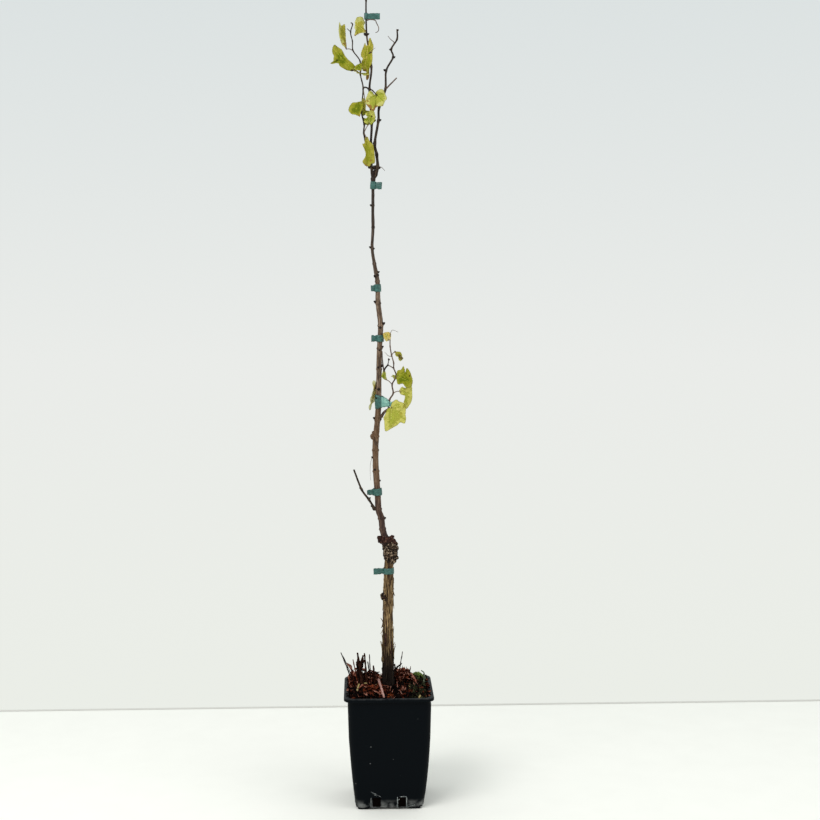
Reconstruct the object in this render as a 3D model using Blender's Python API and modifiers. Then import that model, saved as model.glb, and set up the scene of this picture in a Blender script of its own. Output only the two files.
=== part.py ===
"""Young grafted grapevine in a square nursery pot.

A rootstock trunk carries a knobbly graft head, and the grafted cane above it forks into a leader and a
right-hand cane. Two leafy side shoots and a dead twig spring from them, and green tape ties sit round the
canes. The pot is filled with compost under a heap of dead leaves and weed stubble.

Metres, +Z up, +X to the right and +Y to the back. The origin is on the ground under the pot's middle.
Growth is told in millimetres, as steps (right, back, up) from one node of a stem to the next.
"""

import math
import random

import bmesh
import bpy
import numpy as np
from mathutils import Matrix, Vector

MM = 0.001
GAP = 0.3 * MM  # clearance between neighbouring pieces

# ---- pot ----
POT_HEIGHT = 0.197
POT_RIM_WIDTH = 0.153  # over the rolled rim
POT_TOP_WIDTH = 0.140  # of the wall, under the rim
POT_FOOT_WIDTH = 0.113
POT_WALL = 0.0018
POT_CORNER_RADIUS = 0.012
RIM_SKIRT = 0.0055  # how far the rim turns down
PAD_HEIGHT = 0.0015
CORNER_PAD = 0.019
MIDDLE_PAD = 0.030
DRAIN_WIDTH = 0.014
DRAIN_HEIGHT = 0.0175
DRAIN_SILL = 0.0045
DRAIN_OFFSET = 0.0215  # from the middle of each side

# ---- compost and what lies on it ----
COMPOST_LEVEL = 0.184
HEAP_HEIGHT = 0.018
HEAP_REACH = 0.0655
TRUNK_HOLE = 0.0135
MOSS_PLACE = (0.052, 0.052)
MOSS_RADIUS = 0.0115

# ---- trunk and graft ----
TRUNK_TOP = 0.4100
TRUNK_RADII = ((0.0, 11.6), (0.04, 10.6), (0.16, 10.1), (0.32, 9.4), (0.5, 8.8), (0.75, 8.5), (1.0, 8.4))
TRUNK_SHIFT = 1.4  # how far right the trunk's top stands, in mm
GRAFT_CENTRE = (5.1, -1.0, 439.5)
GRAFT_RADIUS = 13.2
GRAFT_LUMPS = 17
SHOULDER = ((-19.5, -1.0, 13.5, 4.4), (-10.0, -1.0, 12.5, 5.4), (0.0, 0.0, 11.0, 6.0))  # from the ball's middle
STUBS = ((-19.5, -1.5, 16.0, 4.6), (-22.6, -2.0, 20.6, 3.0), (-18.0, -1.0, 10.5, 4.0), (4.8, -1.0, 16.0, 4.8))
NECK_PLACE = (-3.0, -1.0)
NECK_TOP = 458.0
NECK_RADIUS = 6.1

# ---- canes: foot (right, back, up), then steps from node to node, all in mm ----
MAIN_FOOT = (-3.0, -1.0, 458.3)
MAIN_STEPS = (
    (0.0, 0.0, 3.0), (-4.4, -0.8, 13.0), (-3.6, 0.6, 18.6), (-4.8, -1.4, 15.6), (-1.6, 0.8, 31.0),
    (-2.4, -1.2, 34.6), (-0.7, 1.4, 36.1), (0.9, -1.6, 24.1), (2.7, 1.2, 27.4), (1.9, -1.2, 34.3),
    (1.0, 1.4, 52.9), (1.0, -1.2, 35.2), (2.7, 1.0, 41.3), (-3.3, -1.0, 38.0), (-1.4, 1.2, 37.0),
    (-5.1, -1.2, 30.0), (-5.3, 1.0, 26.0), (2.5, -1.2, 34.9), (-0.2, 1.4, 36.5), (1.0, -1.0, 42.2),
)
MAIN_RADII = (5.7, 3.5)
FORK_TOP = (-20.9, -3.0, 1076.0)
FORK_RADIUS = 5.2

LEADER_FOOT = (-24.2, -3.0, 1076.3)
LEADER_STEPS = (
    (0.0, 0.0, 3.0), (-1.6, 1.5, 13.4), (-0.5, 2.5, 35.8), (1.5, -1.5, 33.1), (-3.3, 3.5, 57.0),
    (3.2, -2.5, 36.8), (-7.5, 3.0, 53.9), (-0.9, -2.5, 55.7), (2.4, 2.5, 27.1), (-4.6, -2.0, 31.0),
    (2.6, 1.5, 22.0),
)
LEADER_RADII = (2.2, 1.1)
RIGHT_FOOT = (-17.6, -3.0, 1076.3)
RIGHT_STEPS = (
    (0.0, 0.0, 3.0), (3.9, -1.0, 10.3), (0.1, 1.0, 20.0), (-6.0, 1.0, 19.3), (6.0, -2.5, 36.4),
    (1.4, 2.0, 22.7), (10.4, -3.0, 28.8), (1.7, 2.5, 31.4), (11.3, -3.0, 21.8), (-2.6, 2.0, 14.3),
    (9.4, -2.5, 15.2), (0.2, 1.0, 15.9),
)
RIGHT_RADII = (2.5, 1.3)
RIGHT_TWIG_NODE = 7
RIGHT_TWIG = ((6.0, -3.0, 6.0), (12.6, -4.0, 12.0))

# ---- side stems: limb they spring from, height there in mm, azimuth (0 right, 90 back), then steps ----
DEAD_TWIG_FOOT = ("main_cane", 509.0, 192)
DEAD_TWIG_STEPS = ((-3.0, -1.0, 3.4), (-5.5, -2.5, 13.6), (-12.3, -3.0, 17.7), (-12.8, -2.0, 33.5))
DEAD_TWIG_RADII = (2.0, 1.5)

# ---- leafy shoots ----
LEFT_FOOT = ("leader_cane", 1088.0, 195)
LEFT_STEPS = (
    (-0.8, -0.5, 4.8), (-3.0, -2.5, 24.8), (-4.9, 3.0, 27.7), (0.6, 1.0, 14.5), (-4.3, -3.0, 22.8),
    (2.9, 3.5, 36.2), (-4.6, -2.5, 23.4), (-0.4, 3.5, 22.3), (-11.5, 2.0, 17.5), (-1.1, -3.0, 15.1),
    (-2.9, 2.0, 15.1), (3.4, -1.0, 12.5), (-2.5, 0.0, 2.5),
)
LEFT_RADII = (1.5, 0.9)
LOWER_FOOT = ("main_cane", 668.0, -20)
LOWER_STEPS = (
    (1.2, -0.5, 2.2), (3.9, -2.0, 5.7), (6.1, -2.5, 4.6), (2.6, 0.5, 16.4), (6.2, -1.5, 11.3),
    (-1.8, -1.5, 14.8), (7.0, 2.5, 14.0), (-4.2, -1.5, 13.8), (0.0, 1.5, 8.7), (-3.5, 1.5, 13.2),
    (-2.5, -1.0, 14.8), (0.0, 0.0, 12.0),
)
LOWER_RADII = (1.5, 0.9)

# ---- leaves: node, petiole step, blade step, facing direction, width over length; mm ----
LEFT_LEAVES = (
    (4, (10.5, -6.0, 22.5), (2.6, -3.0, 21.0), (0.45, -0.85, 0.1), 0.88),
    (4, (7.5, -9.0, -21.0), (1.0, -5.0, -37.7), (0.35, -0.9, 0.1), 0.50),
    (6, (-6.0, -6.0, 0.0), (-16.6, -5.0, -4.9), (-0.15, -0.95, 0.1), 1.24),
    (6, (-1.0, 7.0, 2.0), (-12.0, 20.0, -2.0), (0.5, 0.2, 0.8), 1.10),
    (7, (2.4, -3.0, -22.4), (-1.1, -2.0, -15.1), (0.5, -0.85, 0.1), 0.62),
    (8, (-22.5, -3.0, 19.5), (-27.1, -8.0, 31.2), (0.35, -0.85, 0.45), 0.67),
    (8, (-2.0, -4.0, 9.5), (-6.6, -4.0, 8.3), (0.1, -0.9, 0.4), 1.00),
    (8, (1.0, 8.0, 3.0), (-5.0, 24.0, 8.0), (0.3, -0.2, 0.9), 1.10),
    (10, (-16.0, 2.0, 15.0), (-4.5, 4.0, 39.7), (0.6, -0.8, 0.1), 0.33),
)
LEADER_LEAVES = (
    (4, (1.0, 9.0, 4.0), (4.0, 20.0, 14.0), (-0.2, -0.4, 0.9), 1.10),
    (5, (12.2, -14.0, -11.5), (-2.7, -8.0, -26.7), (0.15, -0.93, 0.35), 1.19),
    (7, (2.9, -5.0, -22.0), (-6.1, -6.0, -43.0), (-0.35, -0.92, 0.05), 0.45),
    (7, (-11.5, -4.0, 7.2), (-0.7, -5.0, 24.7), (0.25, -0.92, 0.15), 0.79),
    (9, (7.0, -6.0, 7.0), (15.0, -10.0, 6.0), (0.1, -0.6, 0.8), 1.15),
    (10, (-7.0, 5.0, 6.0), (-13.0, 7.0, 4.0), (-0.3, -0.4, 0.9), 1.10),
    (11, (-2.0, -3.0, 4.0), (-5.0, -4.0, 9.0), (0.2, -0.9, 0.3), 1.00),
    (11, (2.5, 2.5, 3.5), (5.0, 4.0, 7.0), (-0.6, -0.6, 0.5), 1.00),
)
LOWER_LEAVES = (
    (4, (15.0, -9.0, 0.4), (-2.9, -9.0, -40.0), (0.1, -0.93, 0.3), 1.01),
    (6, (18.8, -4.0, 1.5), (10.8, -5.0, -23.5), (0.35, -0.92, 0.1), 0.85),
    (7, (-9.4, 5.0, 10.9), (-4.2, 2.0, 14.4), (0.8, -0.55, 0.1), 0.80),
    (8, (9.6, -4.5, 2.5), (20.1, -7.0, -9.0), (0.05, -0.92, 0.35), 1.30),
    (8, (5.0, 8.0, -1.0), (14.0, 19.0, -8.0), (-0.2, 0.3, 0.9), 1.10),
    (11, (11.0, -3.0, 1.5), (10.9, -4.0, -10.9), (0.15, -0.9, 0.4), 0.85),
    (13, (-3.8, -2.0, 2.2), (-5.1, -4.0, 12.8), (0.25, -0.9, 0.3), 1.00),
)
HANGING_LEAF_FOOT = ("main_cane", 716.0, 160)
HANGING_LEAF = ((-3.0, 1.0, -3.0), (-5.0, 1.0, -35.4), (0.80, -0.6, 0.0), 0.40)
SIDE_STUB = 1.4  # how far a side stem leaves its limb before it turns
PETIOLE_RADIUS = 0.75
LEAF_THICKNESS = 0.9
LEAF_POINTS = 14

# ---- buds and spurs: height on the limb in mm, azimuth in degrees (0 right, 90 back), length in mm ----
MAIN_BUDS = (
    (494.0, 10, 4.2), (555.0, -10, 3.2), (574.0, 250, 3.4), (595.0, 185, 4.0), (662.0, 185, 3.6),
    (659.0, 20, 3.4), (714.0, 190, 3.4), (713.0, 270, 3.2), (752.0, -20, 5.0), (749.0, 250, 3.2),
    (784.0, -20, 3.4), (826.0, -5, 4.4), (863.0, 185, 3.4), (913.0, -10, 3.8), (956.0, 180, 4.2),
    (991.0, 260, 3.2), (1027.0, 190, 3.4),
)
MAIN_KNOBS = ((634.0, 180, 5.6), (631.0, 215, 4.6), (640.0, 160, 4.2))
LEADER_BUDS = ((1161.5, 200, 2.4), (1218.0, 180, 2.2), (1309.0, 185, 3.2), (1310.0, -5, 3.2), (1392.0, 190, 2.2))
RIGHT_BUDS = ((1089.5, 0, 3.6), (1128.6, 190, 3.0), (1165.0, 0, 3.4), (1248.0, 180, 2.6), (1269.0, 0, 3.0))

# ---- tape ties: limb, height, room round it, band height, tail length, tail azimuth, tilt in degrees ----
TIE_THICKNESS = 0.7
TIE_TAIL_THICKNESS = 1.6
TIES = (
    ("leader_cane", 1338.5, 1.0, 11.0, 19.0, 0, 0.0),
    ("main_cane", 1052.5, 0.9, 13.5, 9.5, -20, 0.0),
    ("main_cane", 882.0, 0.9, 12.0, 6.5, 195, 3.0),
    ("main_cane", 805.0, 0.9, 11.5, 9.0, 190, 0.0),
    ("main_cane", 541.0, 0.4, 12.0, 12.5, 185, -12.0),
    ("trunk", 399.0, 0.8, 10.5, 17.0, 185, 3.0),
)
WIDE_TIE_HEIGHT = 24.0
WIDE_TIE_LEVEL = 693.5
WIDE_TIE_ROOM = 3.2  # inner radius of the loop's ends
WIDE_TIE_SHOOT_NODE = 5

# ---- dead weed stubble: foot and tip (right, back, height over the compost), radius; mm ----
STUBBLE = (
    ((-58.5, 10.0, 3.0), (-82.0, 16.0, 70.0), 1.3), ((-54.0, 3.0, 3.0), (-78.0, 7.0, 66.0), 1.0),
    ((-51.0, 8.0, 3.0), (-61.0, 12.0, 67.0), 2.3), ((-44.0, 4.0, 3.0), (-53.0, 8.0, 70.0), 2.3),
    ((-49.5, 6.5, 40.0), (-43.5, 3.0, 67.0), 1.9), ((-36.5, 6.0, 3.0), (-41.0, 11.0, 69.0), 1.3),
    ((-30.0, 5.0, 3.0), (-32.5, 9.0, 68.0), 1.3), ((-22.5, 12.0, 3.0), (-25.5, 14.0, 46.0), 1.9),
    ((16.0, 14.0, 3.0), (25.5, 20.0, 69.0), 1.1), ((17.0, 24.0, 3.0), (12.0, 30.0, 42.0), 1.8),
    ((-30.0, 36.0, 3.0), (-35.0, 42.0, 46.0), 1.4), ((3.0, 40.0, 3.0), (7.0, 46.0, 44.0), 1.5),
    ((-9.0, -34.0, 3.0), (-5.0, -40.0, 20.0), 1.3), ((36.0, 34.0, 3.0), (40.0, 30.0, 40.0), 1.2),
)
# ---- curled dead leaves: place (right, back), azimuth and rise in degrees, length in mm ----
DEAD_LEAVES = (
    (-46.0, -8.0, 190, 40, 24.0), (-30.0, 10.0, 80, 45, 24.0), (-22.0, -30.0, 300, 30, 22.0),
    (20.0, 24.0, 60, 62, 34.0), (32.0, 14.0, 30, 50, 28.0), (5.0, -46.0, 280, 20, 13.0),
    (28.0, -24.0, 320, 30, 20.0), (-38.0, 36.0, 130, 50, 26.0), (10.0, 44.0, 80, 45, 20.0),
)

BLACK_PLASTIC = ("black_polypropylene", (0.012, 0.013, 0.015), 0.42)
COMPOST = ("potting_compost", (0.022, 0.015, 0.011), 0.95)
DEAD_LITTER = ("dead_leaf_litter", (0.10, 0.038, 0.022), 0.85)
MOSS = ("green_moss", (0.10, 0.22, 0.06), 0.9)
OLD_BARK = ("vine_bark", (0.16, 0.11, 0.075), 0.9)
RIPE_CANE = ("ripened_cane", (0.10, 0.062, 0.045), 0.7)
LEAF_GREEN = ("vine_leaf", (0.34, 0.36, 0.05), 0.55)
TIE_TAPE = ("green_tie_tape", (0.035, 0.17, 0.15), 0.4)

parts = None


def clear_scene():
    for old in list(bpy.data.objects):
        bpy.data.objects.remove(old, do_unlink=True)


def new_collection(name):
    collection = bpy.data.collections.new(name)
    bpy.context.scene.collection.children.link(collection)
    return collection


def material(finish):
    name, colour, roughness = finish
    made = bpy.data.materials.get(name)
    if made is None:
        made = bpy.data.materials.new(name)
        made.use_nodes = True
        shader = made.node_tree.nodes["Principled BSDF"]
        shader.inputs["Base Color"].default_value = (*colour, 1.0)
        shader.inputs["Roughness"].default_value = roughness
    return made


def place(name, mesh, finish=None):
    """Links a mesh as a named object, with its material where it is a finished part."""
    piece = bpy.data.objects.new(name, mesh)
    parts.objects.link(piece)
    if finish:
        mesh.materials.clear()
        mesh.materials.append(material(finish))
    return piece


def mesh_from(bm, name):
    mesh = bpy.data.meshes.new(name)
    bm.to_mesh(mesh)
    bm.free()
    return mesh


def freeze(piece, name, finish=None):
    """Replaces an object that has modifiers, or a curve, by its finished mesh."""
    bpy.context.view_layer.update()
    evaluated = piece.evaluated_get(bpy.context.evaluated_depsgraph_get())
    mesh = bpy.data.meshes.new_from_object(evaluated)
    bm = bmesh.new()
    bm.from_mesh(mesh)
    bmesh.ops.remove_doubles(bm, verts=bm.verts, dist=1e-6)
    bm.to_mesh(mesh)
    bm.free()
    matrix = piece.matrix_world.copy()
    bpy.data.objects.remove(piece, do_unlink=True)
    solid = place(name, mesh, finish)
    solid.matrix_world = matrix
    return solid


def fuse(name, pieces, finish):
    """One Boolean union of all the pieces, which are then removed."""
    joined = new_collection(name + "_pieces")
    body, others = pieces[0], pieces[1:]
    for piece in others:
        parts.objects.unlink(piece)
        joined.objects.link(piece)
    union = body.modifiers.new("fuse", "BOOLEAN")
    union.operation = "UNION"
    union.operand_type = "COLLECTION"
    union.collection = joined
    union.solver = "MANIFOLD"
    solid = freeze(body, name, finish)
    for piece in others:
        bpy.data.objects.remove(piece, do_unlink=True)
    bpy.data.collections.remove(joined)
    merge_flat_faces(solid)
    smooth_shade(solid)
    return solid


def merge_flat_faces(solid):
    """Clears the slivers that a union leaves on flat faces."""
    bm = bmesh.new()
    bm.from_mesh(solid.data)
    bmesh.ops.dissolve_limit(bm, angle_limit=math.radians(1.5), verts=bm.verts, edges=bm.edges)
    bmesh.ops.triangulate(bm, faces=bm.faces)
    bm.to_mesh(solid.data)
    bm.free()


def smooth_shade(piece, angle=40.0):
    piece.data.shade_smooth()
    piece.data.set_sharp_from_angle(angle=math.radians(angle))


def walk(foot, steps):
    """The nodes of a stem: its foot and the running sum of its steps, in metres."""
    return np.cumsum(np.array((foot, *steps)), axis=0) * MM


def stem_course(nodes, radii, swell, samples=(0.0, 0.5)):
    """Catmull-Rom course through the nodes, tapering from foot to tip and swollen at each node.

    The first step is straight, so that the foot's cap lies square on what carries it.
    """
    padded = np.vstack((nodes[0], nodes, nodes[-1]))
    lengths = np.linalg.norm(np.diff(nodes, axis=0), axis=1)
    reach = np.concatenate(([0.0], np.cumsum(lengths))) / lengths.sum()
    points = []
    widths = []
    for i in range(len(nodes) - 1):
        before, start, end, after = padded[i:i + 4]
        if i == 0:
            before, after = 2 * start - end, 2 * end - start
        for t in samples:
            bend = (2 * before - 5 * start + 4 * end - after) * t * t
            twist = (3 * (start - end) + after - before) * t * t * t
            points.append(0.5 * (2 * start + (end - before) * t + bend + twist))
            taper = radii[0] + (radii[1] - radii[0]) * (reach[i] + t * (reach[i + 1] - reach[i]))
            widths.append(taper * (1.0 + swell * (t == 0.0 and i > 0)) * MM)
    points.append(nodes[-1])
    widths.append(radii[1] * MM)
    return np.array(points), np.array(widths)


def tube(name, points, widths, resolution=2):
    """A tapering round limb on a poly spline, with closed ends."""
    curve = bpy.data.curves.new(name, "CURVE")
    curve.dimensions = "3D"
    curve.bevel_depth = 1.0
    curve.bevel_resolution = resolution
    curve.use_fill_caps = True
    spline = curve.splines.new("POLY")
    spline.points.add(len(points) - 1)
    for point, place_at, width in zip(spline.points, points, widths):
        point.co = (*place_at, 1.0)
        point.radius = width
    return freeze(place_curve(name, curve), name)


def place_curve(name, curve):
    piece = bpy.data.objects.new(name, curve)
    parts.objects.link(piece)
    return piece


def knob(centre, size, squash=(1.0, 1.0, 1.0), detail=1):
    """A lump: a small sphere of triangles, stretched along the axes."""
    bm = bmesh.new()
    bmesh.ops.create_icosphere(bm, subdivisions=detail, radius=size)
    bmesh.ops.scale(bm, vec=squash, verts=bm.verts)
    bmesh.ops.translate(bm, vec=centre, verts=bm.verts)
    return place("knob", mesh_from(bm, "knob"))


def course_at(course, height):
    """Centre and radius of a limb where it passes a height."""
    points, widths = course
    i = int(np.argmax(points[:, 2] >= height))
    low, high = points[max(i - 1, 0)], points[i]
    t = (height - low[2]) / max(high[2] - low[2], 1e-9)
    t = min(max(t, 0.0), 1.0)
    return low + (high - low) * t, widths[max(i - 1, 0)] * (1 - t) + widths[i] * t


def heading(azimuth, rise=0.0):
    """Direction away from a limb: 0 degrees to the right, 90 to the back."""
    return np.array((math.cos(math.radians(azimuth)), math.sin(math.radians(azimuth)), rise))


def side_stem(course, height, azimuth, steps):
    """Nodes of a stem that leaves a limb squarely, clear of its skin, and then takes its steps."""
    centre, radius = course_at(course, height * MM)
    outward = heading(azimuth)
    foot = centre + outward * (radius + GAP)
    return walk(foot / MM, (outward * SIDE_STUB, *steps))


def bud(course, height, azimuth, length):
    """A pointed winter bud that leans up and out of the bark."""
    centre, radius = course_at(course, height * MM)
    outward = Vector(heading(azimuth, 0.55)).normalized()
    bm = bmesh.new()
    bmesh.ops.create_icosphere(bm, subdivisions=1, radius=length * 0.42 * MM)
    bmesh.ops.scale(bm, vec=(1.0, 1.0, 1.7), verts=bm.verts)
    turn = Vector((0, 0, 1)).rotation_difference(outward).to_matrix().to_4x4()
    seat = Matrix.Translation(Vector(centre) + outward * (radius + length * 0.25 * MM))
    bm.transform(seat @ turn)
    return place("bud", mesh_from(bm, "bud"))


def leaf_edge(angle, width):
    """Distance of a leaf's edge from the petiole as a share of its length: five lobes and a notch."""
    turn = abs(angle)
    envelope = 1.0 - 0.36 * min(turn / math.radians(125.0), 1.0) ** 1.2
    lobes = 0.5 + 0.5 * math.cos(turn * 360.0 / 56.0)
    notch = min(max((math.pi - turn) / math.radians(32.0), 0.0), 1.0)
    edge = envelope * (0.80 + 0.20 * lobes) * (0.30 + 0.70 * notch)
    return edge * math.cos(angle), edge * math.sin(angle) * width * 0.72


def leaf_frame(blade, facing):
    """Rotation that lays a leaf's length along the blade step and turns its upper face outward."""
    along = Vector(blade).normalized()
    across = Vector(facing).cross(along).normalized()
    up = along.cross(across)
    return Matrix((along, across, up)).transposed().to_4x4()


def leaf_blade(base, blade, facing, width):
    """A folded, drooping five-lobed blade with a thickness, from a fan of triangles round the petiole."""
    length = Vector(blade).length
    bm = bmesh.new()
    bmesh.ops.create_circle(bm, cap_ends=True, cap_tris=True, segments=LEAF_POINTS, radius=1.0)
    bm.verts.ensure_lookup_table()
    hub = min(bm.verts, key=lambda vert: vert.co.length)
    spokes = [edge for edge in hub.link_edges]
    for vert in bm.verts:
        if vert is not hub:
            along, across = leaf_edge(math.atan2(vert.co.y, vert.co.x), width)
            vert.co = (along, across, 0.0)
    bmesh.ops.subdivide_edges(bm, edges=spokes, cuts=1)
    bmesh.ops.triangulate(bm, faces=bm.faces)
    for vert in bm.verts:
        along, across = vert.co.x, vert.co.y
        vert.co.z = 0.30 * abs(across) - 0.16 * along * along - 0.10 * across * across
    bmesh.ops.scale(bm, vec=(length * MM,) * 3, verts=bm.verts)
    bm.transform(Matrix.Translation(Vector(base) * MM) @ leaf_frame(blade, facing))
    piece = place("blade", mesh_from(bm, "blade"))
    shell = piece.modifiers.new("thickness", "SOLIDIFY")
    shell.thickness = LEAF_THICKNESS * MM
    shell.offset = 0.0
    return freeze(piece, "blade")


def leaf(node, petiole, blade, facing, width):
    """A petiole that springs from a node and runs on as the midrib of its blade."""
    start = Vector(node) / MM
    base = start + Vector(petiole)
    reach = base + Vector(blade) * 0.06
    sag = start + Vector(petiole) * 0.5 + Vector((0.0, 0.0, 0.8))
    route = np.array((start, sag, base, reach)) * MM
    stalk = tube("petiole", route, np.full(4, PETIOLE_RADIUS * MM), resolution=0)
    return [stalk, leaf_blade(base, blade, facing, width)]


def leafy_shoot(name, nodes, radii, leaves):
    """A mass: one stem with its petioles and leaves fused on."""
    pieces = [tube(name, *stem_course(nodes, radii, 0.25), resolution=1)]
    for number, petiole, blade, facing, width in leaves:
        pieces += leaf(nodes[number], petiole, blade, facing, width)
    fuse(name, pieces, LEAF_GREEN)


def tapered_block(width_low, width_high, low, high, corner):
    """A square block with rounded upright edges, wider at the top."""
    bm = bmesh.new()
    bmesh.ops.create_cube(bm, size=1.0)
    for vert in bm.verts:
        top = vert.co.z > 0
        half = width_high if top else width_low
        vert.co = (vert.co.x * half, vert.co.y * half, high if top else low)
    upright = [edge for edge in bm.edges if abs(edge.verts[0].co.z - edge.verts[1].co.z) > 1e-4]
    bmesh.ops.bevel(bm, geom=upright, offset=corner, segments=4, profile=0.5, affect="EDGES")
    return bm


def pot_width(height):
    share = (height - PAD_HEIGHT) / (POT_HEIGHT - PAD_HEIGHT)
    return POT_FOOT_WIDTH + (POT_TOP_WIDTH - POT_FOOT_WIDTH) * share


def pot_shell():
    """Open tapered box whose top edge is drawn out and down as a rim, with a wall's thickness."""
    top = POT_HEIGHT - POT_WALL
    bm = tapered_block(POT_FOOT_WIDTH, POT_TOP_WIDTH, PAD_HEIGHT, top, POT_CORNER_RADIUS)
    lids = [face for face in bm.faces if face.calc_center_median().z > top - 1e-5]
    bmesh.ops.delete(bm, geom=lids, context="FACES_ONLY")
    edge_loop = [edge for edge in bm.edges if edge.is_boundary]
    outward = (POT_RIM_WIDTH - 2 * POT_WALL) / POT_TOP_WIDTH
    lip = bmesh.ops.extrude_edge_only(bm, edges=edge_loop)["geom"]
    lip_verts = [item for item in lip if isinstance(item, bmesh.types.BMVert)]
    bmesh.ops.scale(bm, vec=(outward, outward, 1.0), verts=lip_verts)
    lip_edges = [item for item in lip if isinstance(item, bmesh.types.BMEdge) and item.is_boundary]
    skirt = bmesh.ops.extrude_edge_only(bm, edges=lip_edges)["geom"]
    skirt_verts = [item for item in skirt if isinstance(item, bmesh.types.BMVert)]
    bmesh.ops.translate(bm, vec=(0.0, 0.0, POT_WALL - RIM_SKIRT), verts=skirt_verts)
    bmesh.ops.recalc_face_normals(bm, faces=bm.faces)
    floor = min(bm.faces, key=lambda face: face.calc_center_median().z)
    if floor.normal.z > 0:
        bmesh.ops.reverse_faces(bm, faces=bm.faces)
    shell = place("pot_shell", mesh_from(bm, "pot_shell"))
    wall = shell.modifiers.new("wall", "SOLIDIFY")
    wall.thickness = POT_WALL
    wall.offset = -1.0
    wall.use_even_offset = True
    return freeze(shell, "pot_shell")


def foot_pads():
    """Low pads under the corners and the middle, which the pot stands on."""
    inset = POT_FOOT_WIDTH / 2 - CORNER_PAD / 2 - 0.003
    places = [(sx * inset, sy * inset, CORNER_PAD) for sx in (-1, 1) for sy in (-1, 1)]
    places.append((0.0, 0.0, MIDDLE_PAD))
    pads = []
    for x, y, width in places:
        bm = tapered_block(width, width, 0.0, PAD_HEIGHT + POT_WALL / 2, 0.003)
        bmesh.ops.translate(bm, vec=(x, y, 0.0), verts=bm.verts)
        pads.append(place("pad", mesh_from(bm, "pad")))
    return pads


def drain_cutter(quarter, side, cutters):
    """A box through the foot of one wall."""
    bm = bmesh.new()
    bmesh.ops.create_cube(bm, size=1.0)
    bmesh.ops.scale(bm, vec=(DRAIN_WIDTH, 0.016, DRAIN_HEIGHT), verts=bm.verts)
    middle = (side * DRAIN_OFFSET, -POT_FOOT_WIDTH / 2, DRAIN_SILL + DRAIN_HEIGHT / 2)
    bmesh.ops.translate(bm, vec=middle, verts=bm.verts)
    bmesh.ops.rotate(bm, cent=(0, 0, 0), matrix=Matrix.Rotation(quarter * math.pi / 2, 3, "Z"), verts=bm.verts)
    cutter = bpy.data.objects.new("drain_cutter", mesh_from(bm, "drain_cutter"))
    cutters.objects.link(cutter)
    cutter.hide_render = True
    cutter.display_type = "WIRE"


def build_pot(cutters):
    pot = fuse("pot", [pot_shell(), *foot_pads()], BLACK_PLASTIC)
    for quarter in range(4):
        for side in (-1, 1):
            drain_cutter(quarter, side, cutters)
    drains = pot.modifiers.new("drains", "BOOLEAN")
    drains.operation = "DIFFERENCE"
    drains.operand_type = "COLLECTION"
    drains.collection = cutters
    drains.solver = "EXACT"


def build_compost():
    """The filling, a wall's thickness and the clearance inside the pot."""
    low = PAD_HEIGHT + POT_WALL + GAP
    inside = 2 * (POT_WALL * 1.02 + GAP)
    bm = tapered_block(pot_width(low) - inside, pot_width(COMPOST_LEVEL) - inside, low, COMPOST_LEVEL,
                       POT_CORNER_RADIUS)
    place("compost", mesh_from(bm, "compost"), COMPOST)


def litter_heap():
    """A flat-bottomed lumpy ring of litter round the trunk: height falls with the distance from it."""
    dice = random.Random(11)
    bm = bmesh.new()
    bmesh.ops.create_cone(bm, cap_ends=True, cap_tris=False, segments=28, radius1=1.0, radius2=1.0, depth=1.0)
    bmesh.ops.translate(bm, vec=(0.0, 0.0, 0.5), verts=bm.verts)
    lid = max(bm.faces, key=lambda face: face.calc_center_median().z)
    floor = min(bm.faces, key=lambda face: face.calc_center_median().z)
    inner = TRUNK_HOLE / HEAP_REACH
    for face in (lid, floor):
        for share in (0.72, 0.45, inner):
            bmesh.ops.inset_region(bm, faces=[face], thickness=0.0, use_even_offset=False)
            radius = face.verts[0].co.xy.length
            bmesh.ops.scale(bm, vec=(share / radius, share / radius, 1.0), verts=face.verts)
    bmesh.ops.bridge_loops(bm, edges=list(lid.edges) + list(floor.edges))
    bmesh.ops.delete(bm, geom=[lid, floor], context="FACES_ONLY")
    foot = COMPOST_LEVEL + GAP
    for vert in bm.verts:
        reach = vert.co.xy.length
        top = vert.co.z > 0.5
        corner = reach > 0.4 and min(vert.co.x, vert.co.y) <= 0.0
        square = reach / max(abs(vert.co.x), abs(vert.co.y)) if corner else 1.0
        spread = HEAP_REACH * (0.93 + 0.3 * (min(square, 1.2) - 1.0))
        back = 0.5 + 0.5 * vert.co.y
        height = HEAP_HEIGHT * (0.22 + 0.78 * math.cos(min(reach, 1.0) * math.pi / 2) ** 0.8) * (0.75 + 0.5 * back)
        lump = height * dice.uniform(0.82, 1.18)
        vert.co = (vert.co.x * spread, vert.co.y * spread, foot + (lump if top else 0.0))
    bmesh.ops.triangulate(bm, faces=bm.faces)
    bmesh.ops.recalc_face_normals(bm, faces=bm.faces)
    return place("heap", mesh_from(bm, "heap"))


def dead_stem(foot, tip, radius):
    """A snapped dry weed stem, rooted well inside the litter and bowed a little outwards."""
    level = np.array((0.0, 0.0, COMPOST_LEVEL / MM))
    middle = (np.array(foot) + np.array(tip)) / 2 + (tip[0] - foot[0]) * np.array((-0.08, 0.0, 0.05))
    route = (np.array((foot, middle, tip)) + level) * MM
    return tube("dead_stem", route, np.array((radius, radius * 0.9, radius * 0.45)) * MM, resolution=0)


def dead_leaf(right, back, azimuth, rise, length):
    """A curled dry leaf that stands half out of the litter."""
    slope = math.radians(rise)
    flat, lift = heading(azimuth) * math.cos(slope), math.sin(slope)
    base = (right, back, COMPOST_LEVEL / MM + 7.0 + 0.3 * length * lift)
    blade = (flat + (0.0, 0.0, lift)) * length
    facing = -heading(azimuth) * lift + (0.0, 0.0, math.cos(slope))
    return leaf_blade(base, blade, facing, 0.8)


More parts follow.
